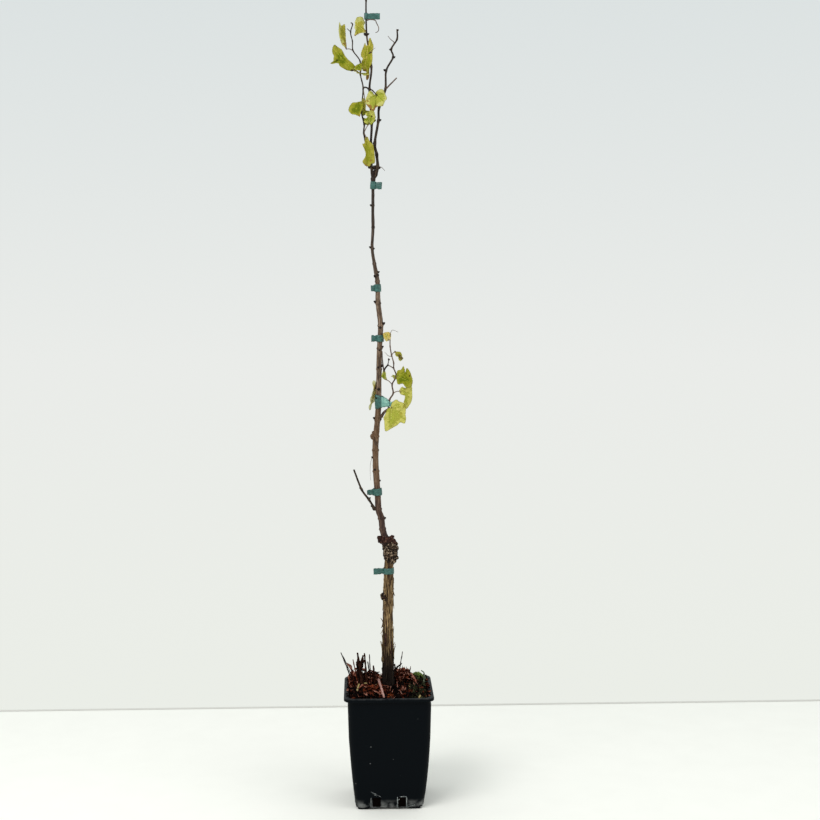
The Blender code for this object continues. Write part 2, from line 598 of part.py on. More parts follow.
def build_litter():
    pieces = [litter_heap()]
    pieces += [dead_stem(*stem) for stem in STUBBLE]
    pieces += [dead_leaf(*row) for row in DEAD_LEAVES]
    fuse("leaf_litter", pieces, DEAD_LITTER)


def build_moss():
    """A cushion of moss in the back right corner, flat where it sits on the compost."""
    dice = random.Random(5)
    bm = bmesh.new()
    bmesh.ops.create_icosphere(bm, subdivisions=2, radius=MOSS_RADIUS)
    for vert in bm.verts:
        vert.co *= dice.uniform(0.86, 1.12)
        vert.co.z = max(vert.co.z * 1.25, -0.002)
    below = [vert for vert in bm.verts if vert.co.z < -0.0019]
    bmesh.ops.dissolve_limit(bm, angle_limit=0.01, verts=below, edges=bm.edges)
    bmesh.ops.triangulate(bm, faces=bm.faces)
    bmesh.ops.translate(bm, vec=(*MOSS_PLACE, COMPOST_LEVEL + GAP + 0.002), verts=bm.verts)
    place("moss_tuft", mesh_from(bm, "moss_tuft"), MOSS)


def trunk_course():
    foot = COMPOST_LEVEL + GAP
    shares = np.array([share for share, _ in TRUNK_RADII])
    widths = np.array([radius for _, radius in TRUNK_RADII]) * MM
    sway = 0.6 * np.sin(shares * math.pi) ** 2
    points = np.stack((
        (shares ** 2 * TRUNK_SHIFT - sway) * MM,
        -shares ** 2 * MM,
        foot + shares * (TRUNK_TOP - foot),
    ), axis=1)
    return points, widths


def build_trunk():
    course = trunk_course()
    pieces = [tube("trunk", *course, resolution=4)]
    pieces.append(knob((-0.0068, -0.003, 0.3575), 0.0042, (0.9, 1.0, 1.5)))
    pieces.append(knob((0.0076, -0.004, 0.361), 0.0040, (0.9, 1.0, 1.6)))
    pieces.append(knob((0.0040, 0.0070, 0.300), 0.0038, (1.0, 0.8, 1.8)))
    fuse("trunk", pieces, OLD_BARK)
    return course


def graft_lumps(centre):
    """Callus lumps dealt over the ball by a golden-angle spiral, all but its crown."""
    dice = random.Random(3)
    lumps = []
    for i in range(GRAFT_LUMPS):
        rise = 0.55 - 1.6 * i / GRAFT_LUMPS
        turn = i * math.radians(137.5)
        flat = math.sqrt(1.0 - rise * rise)
        outward = np.array((math.cos(turn) * flat, math.sin(turn) * flat, rise))
        size = dice.uniform(4.6, 6.6)
        place_at = (centre + outward * (GRAFT_RADIUS - 0.62 * size)) * MM
        lumps.append(knob(place_at, size * MM, (1.0, 1.0, dice.uniform(0.8, 1.3))))
    return lumps


def build_graft_head():
    """The callused swelling where the cane was grafted: a lumpy ball with a shoulder, a collar and a neck."""
    centre = np.array(GRAFT_CENTRE)
    pieces = [knob(centre * MM, GRAFT_RADIUS * MM, (1.0, 1.0, 1.05), detail=2)]
    pieces += graft_lumps(centre)
    pieces += [knob((centre + stub[:3]) * MM, stub[3] * MM) for stub in STUBS]
    shoulder = np.array(SHOULDER)
    pieces.append(tube("shoulder", (centre + shoulder[:, :3]) * MM, shoulder[:, 3] * MM))
    foot = np.array((TRUNK_SHIFT, -1.0, TRUNK_TOP / MM + GAP / MM))
    collar = np.array((foot, foot + (0.0, 0.0, 3.0), centre - (2.0, 0.0, 4.0)))
    pieces.append(tube("collar", collar * MM, np.array((8.4, 8.6, 9.5)) * MM, resolution=4))
    top = np.array((*NECK_PLACE, NECK_TOP))
    neck = np.array((centre - (3.0, 0.0, 0.0), top - (0.0, 0.0, 3.0), top))
    pieces.append(tube("neck", neck * MM, np.array((8.0, NECK_RADIUS, NECK_RADIUS)) * MM, resolution=4))
    fuse("graft_head", pieces, OLD_BARK)


def build_main_cane():
    nodes = walk(MAIN_FOOT, MAIN_STEPS)
    course = stem_course(nodes, MAIN_RADII, 0.16, samples=(0.0, 0.2, 0.8))
    pieces = [tube("main_cane", *course)]
    top = np.array(FORK_TOP) * MM
    fork = np.array((nodes[-1] - (0.0, 0.0, 0.006), top - (0.0, 0.0, 0.004), top))
    pieces.append(tube("fork", fork, np.array((3.4, FORK_RADIUS, FORK_RADIUS)) * MM, resolution=3))
    pieces += [bud(course, *row) for row in MAIN_BUDS]
    for height, azimuth, size in MAIN_KNOBS:
        centre, radius = course_at(course, height * MM)
        outward = Vector(heading(azimuth))
        pieces.append(knob(Vector(centre) + outward * (radius + 0.0005), size * 0.62 * MM, (1.0, 1.0, 1.3)))
    fuse("main_cane", pieces, RIPE_CANE)
    return course


def build_leader():
    """The leader bears leaves from its fourth node to its tip, past the top tie."""
    nodes = walk(LEADER_FOOT, LEADER_STEPS)
    course = stem_course(nodes, LEADER_RADII, 0.3)
    pieces = [tube("leader_cane", *course)]
    pieces += [bud(course, *row) for row in LEADER_BUDS]
    for number, petiole, blade, facing, width in LEADER_LEAVES:
        pieces += leaf(nodes[number], petiole, blade, facing, width)
    fuse("leader_cane", pieces, RIPE_CANE)
    return course


def build_right_cane():
    nodes = walk(RIGHT_FOOT, RIGHT_STEPS)
    course = stem_course(nodes, RIGHT_RADII, 0.3)
    pieces = [tube("right_cane", *course)]
    pieces += [bud(course, *row) for row in RIGHT_BUDS]
    twig = walk(nodes[RIGHT_TWIG_NODE] / MM, RIGHT_TWIG)
    pieces.append(tube("twig", twig, np.array((1.3, 1.1, 0.9)) * MM, resolution=1))
    fuse("right_cane", pieces, RIPE_CANE)


def build_dead_twig(courses):
    limb, height, azimuth = DEAD_TWIG_FOOT
    nodes = side_stem(courses[limb], height, azimuth, DEAD_TWIG_STEPS)
    course = stem_course(nodes, DEAD_TWIG_RADII, 0.35)
    pieces = [tube("dead_twig", *course)]
    pieces.append(bud(course, 512.5, 190, 4.0))
    pieces.append(bud(course, 527.0, 20, 3.4))
    pieces.append(bud(course, 545.0, 180, 3.0))
    fuse("dead_twig", pieces, RIPE_CANE)


def build_hanging_leaf(courses):
    """A single narrow leaf that hangs behind the main cane."""
    limb, height, azimuth = HANGING_LEAF_FOOT
    foot = side_stem(courses[limb], height, azimuth, ())[0]
    fuse("hanging_leaf", leaf(foot, *HANGING_LEAF), LEAF_GREEN)


def build_shoots(courses):
    limb, height, azimuth = LEFT_FOOT
    leafy_shoot("left_shoot", side_stem(courses[limb], height, azimuth, LEFT_STEPS), LEFT_RADII, LEFT_LEAVES)
    limb, height, azimuth = LOWER_FOOT
    nodes = side_stem(courses[limb], height, azimuth, LOWER_STEPS)
    leafy_shoot("lower_shoot", nodes, LOWER_RADII, LOWER_LEAVES)
    return nodes


def band(name, inner, span, height, tail, tilt, azimuth, centre, narrow=1.0):
    """A loop of tape as a flat outline with its hole, drawn out to the band's height.

    The outline is two half circles a span apart, and the two ends of the tape run out as a straight tail.
    """
    half = TIE_TAIL_THICKNESS / 2
    outer = inner + TIE_THICKNESS
    start = math.asin(half / outer) if tail else math.pi / 8
    curve = bpy.data.curves.new(name, "CURVE")
    curve.dimensions = "2D"
    curve.fill_mode = "BOTH"
    curve.extrude = height / 2 * MM
    for radius, first in ((outer, start), (inner, math.pi / 12)):
        angles = np.linspace(first, 2 * math.pi - first, 16)
        outline = [(radius * math.cos(a) + (span if math.cos(a) > 0 else 0.0), radius * math.sin(a)) for a in angles]
        if radius == outer and tail:
            end = outer + tail
            outline = [(end, half), *outline, (end, -half)]
        spline = curve.splines.new("POLY")
        spline.points.add(len(outline) - 1)
        for point, (x, y) in zip(spline.points, outline):
            point.co = (x * MM, y * MM, 0.0, 1.0)
        spline.use_cyclic_u = True
    loop = freeze(place_curve(name, curve), name, TIE_TAPE)
    for vert in loop.data.vertices:
        share = min(max(vert.co.x / max(span * MM, MM), 0.0), 1.0)
        vert.co.z *= 1.0 + (narrow - 1.0) * share
    turn = Matrix.Rotation(math.radians(azimuth), 4, "Z") @ Matrix.Rotation(math.radians(tilt), 4, "Y")
    loop.matrix_world = Matrix.Translation(centre) @ turn
    smooth_shade(loop, 30.0)


def build_ties(courses):
    for number, (limb, height, room, band_height, tail, azimuth, tilt) in enumerate(TIES, start=1):
        centre, radius = course_at(courses[limb], height * MM)
        lean = course_at(courses[limb], (height + band_height / 2) * MM)[0] - centre
        spread = math.hypot(lean[0], lean[1]) / MM
        inner = radius / MM + room + spread + math.sin(math.radians(abs(tilt))) * radius / MM
        band(f"tie_{number}", inner, 0.0, band_height, tail, tilt, azimuth, centre)


def build_wide_tie(courses, shoot_nodes):
    """A wide loop round the lower shoot whose other end passes behind the main cane."""
    level = WIDE_TIE_LEVEL * MM
    cane, radius = course_at(courses["main_cane"], level)
    behind = cane[:2] + (0.0, radius + 2.6 * (WIDE_TIE_ROOM + TIE_THICKNESS) * MM)
    across = shoot_nodes[WIDE_TIE_SHOOT_NODE][:2] - behind
    azimuth = math.degrees(math.atan2(across[1], across[0]))
    span = float(np.linalg.norm(across)) / MM
    band("tie_7", WIDE_TIE_ROOM, span, WIDE_TIE_HEIGHT, 0.0, 0.0, azimuth, (*behind, level), narrow=0.3)


def build():
    global parts
    clear_scene()
    parts = new_collection("potted_grapevine")
    cutters = new_collection("cutters")
    build_pot(cutters)
    build_compost()
    build_litter()
    build_moss()
    courses = {"trunk": build_trunk()}
    build_graft_head()
    courses["main_cane"] = build_main_cane()
    courses["leader_cane"] = build_leader()
    build_right_cane()
    build_dead_twig(courses)
    lower_nodes = build_shoots(courses)
    build_hanging_leaf(courses)
    build_ties(courses)
    build_wide_tie(courses, lower_nodes)


build()
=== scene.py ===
"""Looks of a young grafted grapevine in a square nursery pot.

Every surface is worked out in millimetres, in the frame of the CAD model: +X right, +Y back, +Z up, with the
origin on the ground under the pot's middle. Growth tables give steps (right, back, up) from one node of a
stem to the next, and the same steps grow the bark, the shoots and the leaf stalks. A finish in a table is the
number of a material in its piece's own list.
"""

import math

import bpy
import numpy as np
from mathutils import Matrix, Vector


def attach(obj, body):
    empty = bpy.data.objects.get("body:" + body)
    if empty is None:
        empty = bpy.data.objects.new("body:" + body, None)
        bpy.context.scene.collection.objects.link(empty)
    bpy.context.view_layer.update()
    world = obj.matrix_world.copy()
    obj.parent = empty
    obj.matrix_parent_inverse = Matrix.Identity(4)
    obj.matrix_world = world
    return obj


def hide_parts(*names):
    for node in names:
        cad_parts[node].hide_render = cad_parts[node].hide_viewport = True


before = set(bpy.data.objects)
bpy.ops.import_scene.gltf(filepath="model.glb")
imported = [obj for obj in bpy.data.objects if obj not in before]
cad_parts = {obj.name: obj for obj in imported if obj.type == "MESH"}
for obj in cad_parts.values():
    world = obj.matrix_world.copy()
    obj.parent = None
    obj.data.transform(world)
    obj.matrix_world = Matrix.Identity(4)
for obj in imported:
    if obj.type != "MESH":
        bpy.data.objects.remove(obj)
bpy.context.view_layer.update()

MM = 0.001
TAU = 2.0 * math.pi

# ---- pot, in mm: half widths, heights and corner radius ----
POT_FOOT_HALF = 56.5
POT_TOP_HALF = 70.0
POT_RIM_HALF = 76.4
POT_HEIGHT = 197.0
POT_CORNER = 12.0
POT_WALL = 1.8
# stations of its shell: half width, height, how much the corner radius differs from the pot's
POT_UNDERSIDE = ((6, 2.9, -9), (30, 2.9, -4), (54.6, 2.9, 0), (56, 3.1, 0), (56.6, 4, 0))
POT_WALL_LEVELS = (5, 12, 20, 30, 50, 75, 100, 125, 150, 170, 184, 190.5)
POT_RIM = (
    (70.2, 192.6, 0), (71, 193.4, 0), (73.6, 193.4, 3), (74.3, 193, 3), (74.7, 191.9, 3), (75.2, 191.5, 3),
    (75.9, 191.6, 3), (POT_RIM_HALF, 192.3, 4), (POT_RIM_HALF, 195.2, 4), (76.1, 196.3, 4), (75.3, 196.9, 3),
    (74, 197.05, 3), (70.5, 197, 0), (69.2, 196.8, 0), (68.4, 196.2, 0), (68.1, 195, 0),
)
POT_INNER_LEVELS = (184, 150, 100, 50, 20, 6)
POT_FLOOR = ((54, 5, -2), (51, 4.6, -2), (30, 4.6, -4), (6, 4.6, -9))
PAD_HEIGHT = 1.5  # where the tapering walls start
# pads under the foot: middle and half width, then inset and height of their profile
PAD_PLACES = ((-44, -44, 9.5), (44, -44, 9.5), (-44, 44, 9.5), (44, 44, 9.5), (0, 0, 15))
PAD_PROFILE = ((3, 0), (0.6, 0), (0, 0.5), (0, 3.2), (3, 3.3))
PAD_CORNER = 3.0
DRAIN_SIZE = (14, 17.5)  # width, height
DRAIN_SILL = 4.5
DRAIN_OFFSET = 21.5
DRAIN_REACH = (-66, -48)  # how far in the cut runs
BULGE_LEVELS = (0, 5, 35, 80, 125, 184, 191)
# how far the filled pot's walls bow out at those levels
RIGHT_BULGE = (1, 2, 4.5, 5.5, 5, 2.5, 0)
LEFT_BULGE = (0.3, 0.5, 2.1, 3, 3.1, 0.8, 0)
DEEP_BULGE = (0, 0.5, 2, 2.5, 2.5, 1, 0)
# pale strokes on a wall, a painted reflection along the drain windows' cut edges and scuffs elsewhere: points
# and radius
EDGE_GLINTS_AND_SCUFFS = (
    (((13.6, -57.9, 4), (14, -58.4, 13), (13.8, -59.2, 22)), 0.9),
    (((14.2, -58.6, 17), (17, -59, 18.5)), 0.5),
    (((18.5, -60, 23.2), (24, -60.2, 23.6), (29, -60, 23.2)), 0.6),
    (((29.6, -57.9, 4), (29.4, -58.6, 14), (29.6, -59.4, 22)), 0.8),
    (((-31, -60.9, 33), (-15, -60.3, 24)), 0.28), (((-29, -60.7, 30), (-22, -60.4, 25.5)), 0.22),
    (((-31.5, -58.4, 5), (-31, -59.9, 22)), 0.35), (((32, -58, 5), (44, -58.2, 8.5)), 0.35),
)

# ---- compost and what lies on it ----
COMPOST_LEVEL = 184.3
BED_HALF = 67.2
BED_CORNER = 11.0
BED_LEVEL = 191.5  # at the pot's wall
BED_HEAP = 7.0  # how much higher the middle is
MOSS_PLACE = (52, 52)
MOSS_RADIUS = 11.0
MOSS_LEVEL = 197.0
MOSS_SHOOT = ((0.10, 0), (0.20, 0.35), (0.10, 0.8))  # radius and height over the shoot's length
MOSS_SHOOT_LENGTHS = (2.4, 4.6)

# ---- bark relief: depth, grain (right, back, up, or the same all ways), seed ----
TRUNK_FURROWS = (1.5, (3.2, 3.2, 30), 3)
ARM_FURROWS = (1.3, 3, 12)
NECK_FURROWS = (2.2, 3.4, 13)
MAIN_FURROWS = (0.55, (2.2, 2.2, 22), 31)
CANE_FURROWS = (0.22, (1.2, 1.2, 12), 51)
TWIG_FURROWS = (0.12, (1, 1, 8), 52)
STRAW_FURROWS = (0.2, (1.4, 1.4, 7), 69)
STUBBLE_FURROWS = (0.4, (1.4, 1.4, 7))

# ---- trunk and graft ----
TRUNK_TOP = 410.0
TRUNK_STATIONS = 190
TRUNK_SECTORS = 84
TRUNK_RADII = ((0, 11.4), (0.04, 10.2), (0.16, 9.3), (0.32, 8.7), (0.5, 8.2), (0.75, 7.9), (1, 7.9))
TRUNK_SHIFT = 1.4
TRUNK_IN_GRAFT = ((0.6, 0, 3, 8.2), (1.2, 0, 7, 8.3), (2, 0, 12, 8.4))  # steps from the trunk's top, radius
# pruning scars and thick ridges: middle, size, stretch, finish
TRUNK_KNOBS = (
    ((-8, -5, 357.5), 5.4, 1.2, 3), ((-7.2, -8.6, 356.5), 2.6, 1, 2), ((-3.5, -6.5, 352), 3.6, 1.1, 3),
    ((6.6, -4, 361), 3.2, 1.8, 0), ((4, 7, 300), 3.4, 1.8, 0), ((-9, -3, 246), 3.6, 1.6, 1),
    ((-0.8, -7.4, 331), 1.6, 6.5, 2), ((-2.4, -7.6, 310), 1.7, 6, 2), ((-4.2, -7.8, 283), 1.9, 7, 2),
    ((4.4, -7.6, 268), 2, 6.5, 2), ((0.6, -8.4, 262), 1.5, 6, 0),
)
KNOB_SEED = 20
STRIPS = 120
STRIP_SEED = 7
STRIP_STATIONS = 10
STRIP_LENGTHS = (12, 62)
STRIP_WIDTHS = (0.9, 2.4)
STRIP_LIFT = 5.0
STRIP_PROFILE = ((-1, -0.4), (0, -0.43), (1, -0.4), (0, 0.4))  # across over the half width, outwards in mm
GRAFT_CENTRE = (4.4, -1, 442)
GRAFT_RADIUS = 13.6
GRAFT_SEED = 3
GRAFT_LUMPS = 17
GRAFT_LUMP_SIZES = (4.2, 6.4)
GOLDEN_ANGLE = 137.5
GRAFT_WARTS = 60
GRAFT_WART_SIZES = (1.4, 2.6)
GRAFT_STATIONS = 110
GRAFT_SECTORS = 150
HULL_SOFTNESS = 0.45
# from the graft's centre: nodes of the arm and of the neck, and lumps with their size
GRAFT_ARM = ((-17.4, -1.5, 14.6), (-12, -2, 13.2), (-4.5, -2, 13.6), (3.5, -1, 9))
GRAFT_ARM_RADII = (4.8, 7)
GRAFT_NECK = ((0.2, 0, -8), (0, 0, -13), (0.4, 0, -18), (0, 0, -23), (-0.8, 0, -26))
GRAFT_NECK_RADII = (12.2, 12, 11, 9.4, 8.3)
NECK_LUMPS = (
    (10.6, -3, -17.5, 3.4), (-8, -6, -17, 3.6), (3, -9.5, -19, 3.8), (-3.5, -7.5, -23, 3),
    (7.5, -5, -22.5, 2.8), (-9, 2, -14, 3.6), (6, 8, -18, 3.8), (-5, 8, -20, 3.4),
)
GRAFT_STUBS = ((8.2, -2, -12, 4.6), (-5.5, -3, -12.5, 4.4), (5.5, -1, 8.5, 5), (2, -6, -10, 4.6))
ARM_LUMPS = (
    (-20.6, -2, 17.4, 2.6), (-17, -4, 18.6, 2.4), (-19, -4.5, 11.6, 2.8), (-12, -6.5, 16.5, 3.2),
    (1.5, -4, 17.6, 3.6), (-4, -6.5, 12, 3.6), (4.6, -2, 19, 2.2), (-15.5, -6, 10, 2.8),
)

# ---- canes: foot (right, back, up), then steps from node to node ----
MAIN_FOOT = (-5.8, -1, 458.3)
MAIN_STEPS = (
    (0, 0, 3), (-3.1, -0.8, 13), (-2.1, 0.6, 18.6), (-4.8, -1.4, 15.6), (-1.6, 0.8, 31),
    (-2.4, -1.2, 34.6), (-0.7, 1.4, 36.1), (0.9, -1.6, 24.1), (2.7, 1.2, 27.4), (1.9, -1.2, 34.3),
    (1, 1.4, 52.9), (1, -1.2, 35.2), (1.9, 1, 38.5), (-3.9, -1, 37.8), (-1.2, 1.2, 37),
    (-5.1, -1.2, 30), (-3.3, 1, 26), (1.3, -1.2, 34.9), (-0.2, 1.4, 36.5), (0.8, -1, 45.2),
)
MAIN_RADII = (
    (458, 5.4), (520, 5.3), (600, 5.2), (700, 4.85), (800, 4.45), (885, 4.1), (905, 3.7), (925, 2.9),
    (945, 2.6), (1046, 2.6), (1058, 3), (1070, 4.1),
)
MAIN_ROOT_RADII = (5, 5.2)  # inside the graft's arm
LEADER_FOOT = (-24.2, -3, 1076.3)
LEADER_STEPS = (
    (0, 0, 3), (-1.6, 1.5, 13.4), (-0.5, 2.5, 35.8), (1.5, -1.5, 33.1), (-3.3, 3.5, 57),
    (3.2, -2.5, 36.8), (-7.5, 3, 53.9), (-0.9, -2.5, 55.7), (2.4, 2.5, 27.1), (-4.6, -2, 31),
    (2.6, 1.5, 22),
)
LEADER_RADII = (2.2, 1.1)
RIGHT_FOOT = (-17.6, -3, 1076.3)
RIGHT_STEPS = (
    (0, 0, 3), (2.6, -1, 10.3), (-1.6, 1, 20), (-3, 1, 19.3), (6, -2.5, 36.4), (1.4, 2, 22.7),
    (10.4, -3, 28.8), (1.7, 2.5, 31.4), (11.3, -3, 21.8), (-2.6, 2, 14.3), (9.4, -2.5, 15.2),
    (0.2, 1, 15.9),
)
RIGHT_RADII = (2.5, 1.3)
FORK_KNOBS = ((-20.5, -2, 1079, 4.2), (-20, -2, 1088, 3.4), (-22, -2.5, 1072.5, 4))  # middle, size
RIGHT_TWIG_NODE = 7
RIGHT_TWIG = ((6, -3, 6), (12.6, -4, 12))
RIGHT_TWIG_RADII = (1.5, 1)

# ---- side stems: height on the limb, azimuth (0 right, 90 back), then steps ----
SIDE_STUB = 1.4  # the first step, square to the limb
CLEARANCE = 0.3  # from the limb's skin to the stem's first node
STEM_SPACING = 1.2  # between stations, at most
DEAD_TWIG_FOOT = (509, 192)
DEAD_TWIG_STEPS = ((-0.9, -1, 3.8), (-7.6, -2.5, 13.2), (-12.3, -3, 17.7), (-12.8, -2, 33.5))
DEAD_TWIG_RADII = (2, 1.5)
LEFT_FOOT = (1088, 195)
LEFT_STEPS = (
    (-0.8, -0.5, 4.8), (-3, -2.5, 24.8), (-4.9, 3, 27.7), (0.6, 1, 14.5), (-4.3, -3, 22.8),
    (2.9, 3.5, 36.2), (-4.6, -2.5, 23.4), (-0.4, 3.5, 22.3), (-11.5, 2, 17.5), (-1.1, -3, 15.1),
    (-2.9, 2, 15.1), (3.4, -1, 12.5), (-2.5, 0, 2.5),
)
LEFT_RADII = (1.5, 0.9)
LOWER_FOOT = (668, -20)
LOWER_STEPS = (
    (1.2, -0.5, 2.2), (3.9, -2, 5.7), (6.1, -2.5, 4.6), (2.6, 0.5, 16.4), (6.2, -1.5, 11.3),
    (-1.8, -1.5, 14.8), (7, 2.5, 14), (-4.2, -1.5, 13.8), (0, 1.5, 8.7), (-3.5, 1.5, 13.2),
    (-2.5, -1, 14.8), (0, 0, 12),
)
LOWER_RADII = (1.5, 0.9)

# ---- leaves: node, petiole step, blade step, facing, tint family, shape, scorched side and share ----
# shape is a named outline, or the width over length of a plain five-lobed blade
LEFT_LEAVES = (
    (4, (10.5, -6, 22.5), (-1.6, -3, 21), (0.30, -0.9, 0.1), "fresh", "notched", (0.4, -0.6), 0.10),
    (4, (7.5, -9, -21), (1, -5, -37.7), (0.35, -0.9, 0.1), "gold", "hourglass", (0.6, -0.8), 0.22),
    (6, (-6, -6, 0), (-16.6, -5, -4.9), (-0.15, -0.95, 0.1), "deep", "round", (0.5, -0.9), 0.25),
    (6, (-1, 7, 2), (-12, 20, -2), (0.5, 0.2, 0.8), "leaf", 1.10, (0, -1), 0.1),
    (7, (2.4, -3, -22.4), (-1.1, -2, -15.1), (0.5, -0.85, 0.1), "olive", "sliver", (0, -1), 0.2),
    (8, (-22.5, -3, 19.5), (-27.1, -8, 31.2), (0.35, -0.85, 0.45), "leaf", "folded", (-0.7, -0.7), 0.30),
    (8, (-2, -4, 9.5), (-6.6, -4, 8.3), (0.1, -0.9, 0.4), "leaf", "patch", (0, -1), 0.05),
    (8, (1, 8, 3), (-5, 24, 8), (0.3, -0.2, 0.9), "fresh", 1.10, (0, -1), 0.1),
    (10, (-16, 2, 15), (-4.5, 4, 39.7), (0.6, -0.8, 0.1), "olive", "blade", (0, -1), 0.12),
)
LEADER_LEAVES = (
    (4, (-3, 9, 4), (-1, 20, 14), (-0.2, -0.4, 0.9), "leaf", 0.90, (0, -1), 0.1),
    (5, (12.2, -14, -11.5), (-2.7, -8, -26.7), (0.15, -0.93, 0.35), "veined", "fan", (-0.25, -1), 0.36),
    (7, (2.9, -5, -22), (-6.1, -6, -43), (-0.35, -0.92, 0.05), "leafy", "hanging", (0.1, -1), 0.35),
    (7, (-11.5, -4, 7.2), (-0.7, -5, 24.7), (0.25, -0.92, 0.15), "olive", "crown", (-0.3, -0.9), 0.12),
    (9, (7, -6, 7), (15, -10, 6), (0.1, -0.6, 0.8), "fresh", 1.15, (1, 0), 0.1),
    (10, (-7, 5, 6), (-13, 7, 4), (-0.3, -0.4, 0.9), "fresh", 1.10, (1, 0), 0.1),
    (11, (-2, -3, 4), (-5, -4, 9), (0.2, -0.9, 0.3), "fresh", 1.00, (1, 0), 0.1),
    (11, (2.5, 2.5, 3.5), (5, 4, 7), (-0.6, -0.6, 0.5), "olive", 1.00, (1, 0), 0.1),
)
LOWER_LEAVES = (
    (4, (15, -9, 0.4), (-2.9, -9, -40), (0.1, -0.93, 0.3), "bright", "broad", (0.9, 0.2), 0.08),
    (6, (18.8, -4, 1.5), (10.8, -5, -23.5), (0.35, -0.92, 0.1), "bright", "strip", (0.2, -1), 0.05),
    (7, (-9.4, 5, 10.9), (-4.2, 2, 14.4), (0.8, -0.55, 0.1), "fresh", "small", (0, -1), 0.05),
    (8, (9.6, -4.5, 2.5), (20.1, -7, -9), (0.05, -0.92, 0.35), "leaf", "claw", (1, 0.1), 0.15),
    (8, (5, 8, -1), (14, 19, -8), (-0.2, 0.3, 0.9), "fresh", 1.10, (1, 0), 0.1),
    (11, (11, -3, 1.5), (10.9, -4, -10.9), (0.15, -0.9, 0.4), "dry", "shrunk", (-0.6, -0.6), 0.45),
    (13, (-3.8, -2, 2.2), (-5.1, -4, 12.8), (0.25, -0.9, 0.3), "straw", "tuft", (0.3, -0.3), 0.30),
)
HANGING_LEAF_FOOT = (716, 160)
HANGING_LEAF = ((-3, 1, -3), (-5, 1, -35.4), (0.80, -0.6, 0), "bleached", 0.42, (0, -1), 0.25)
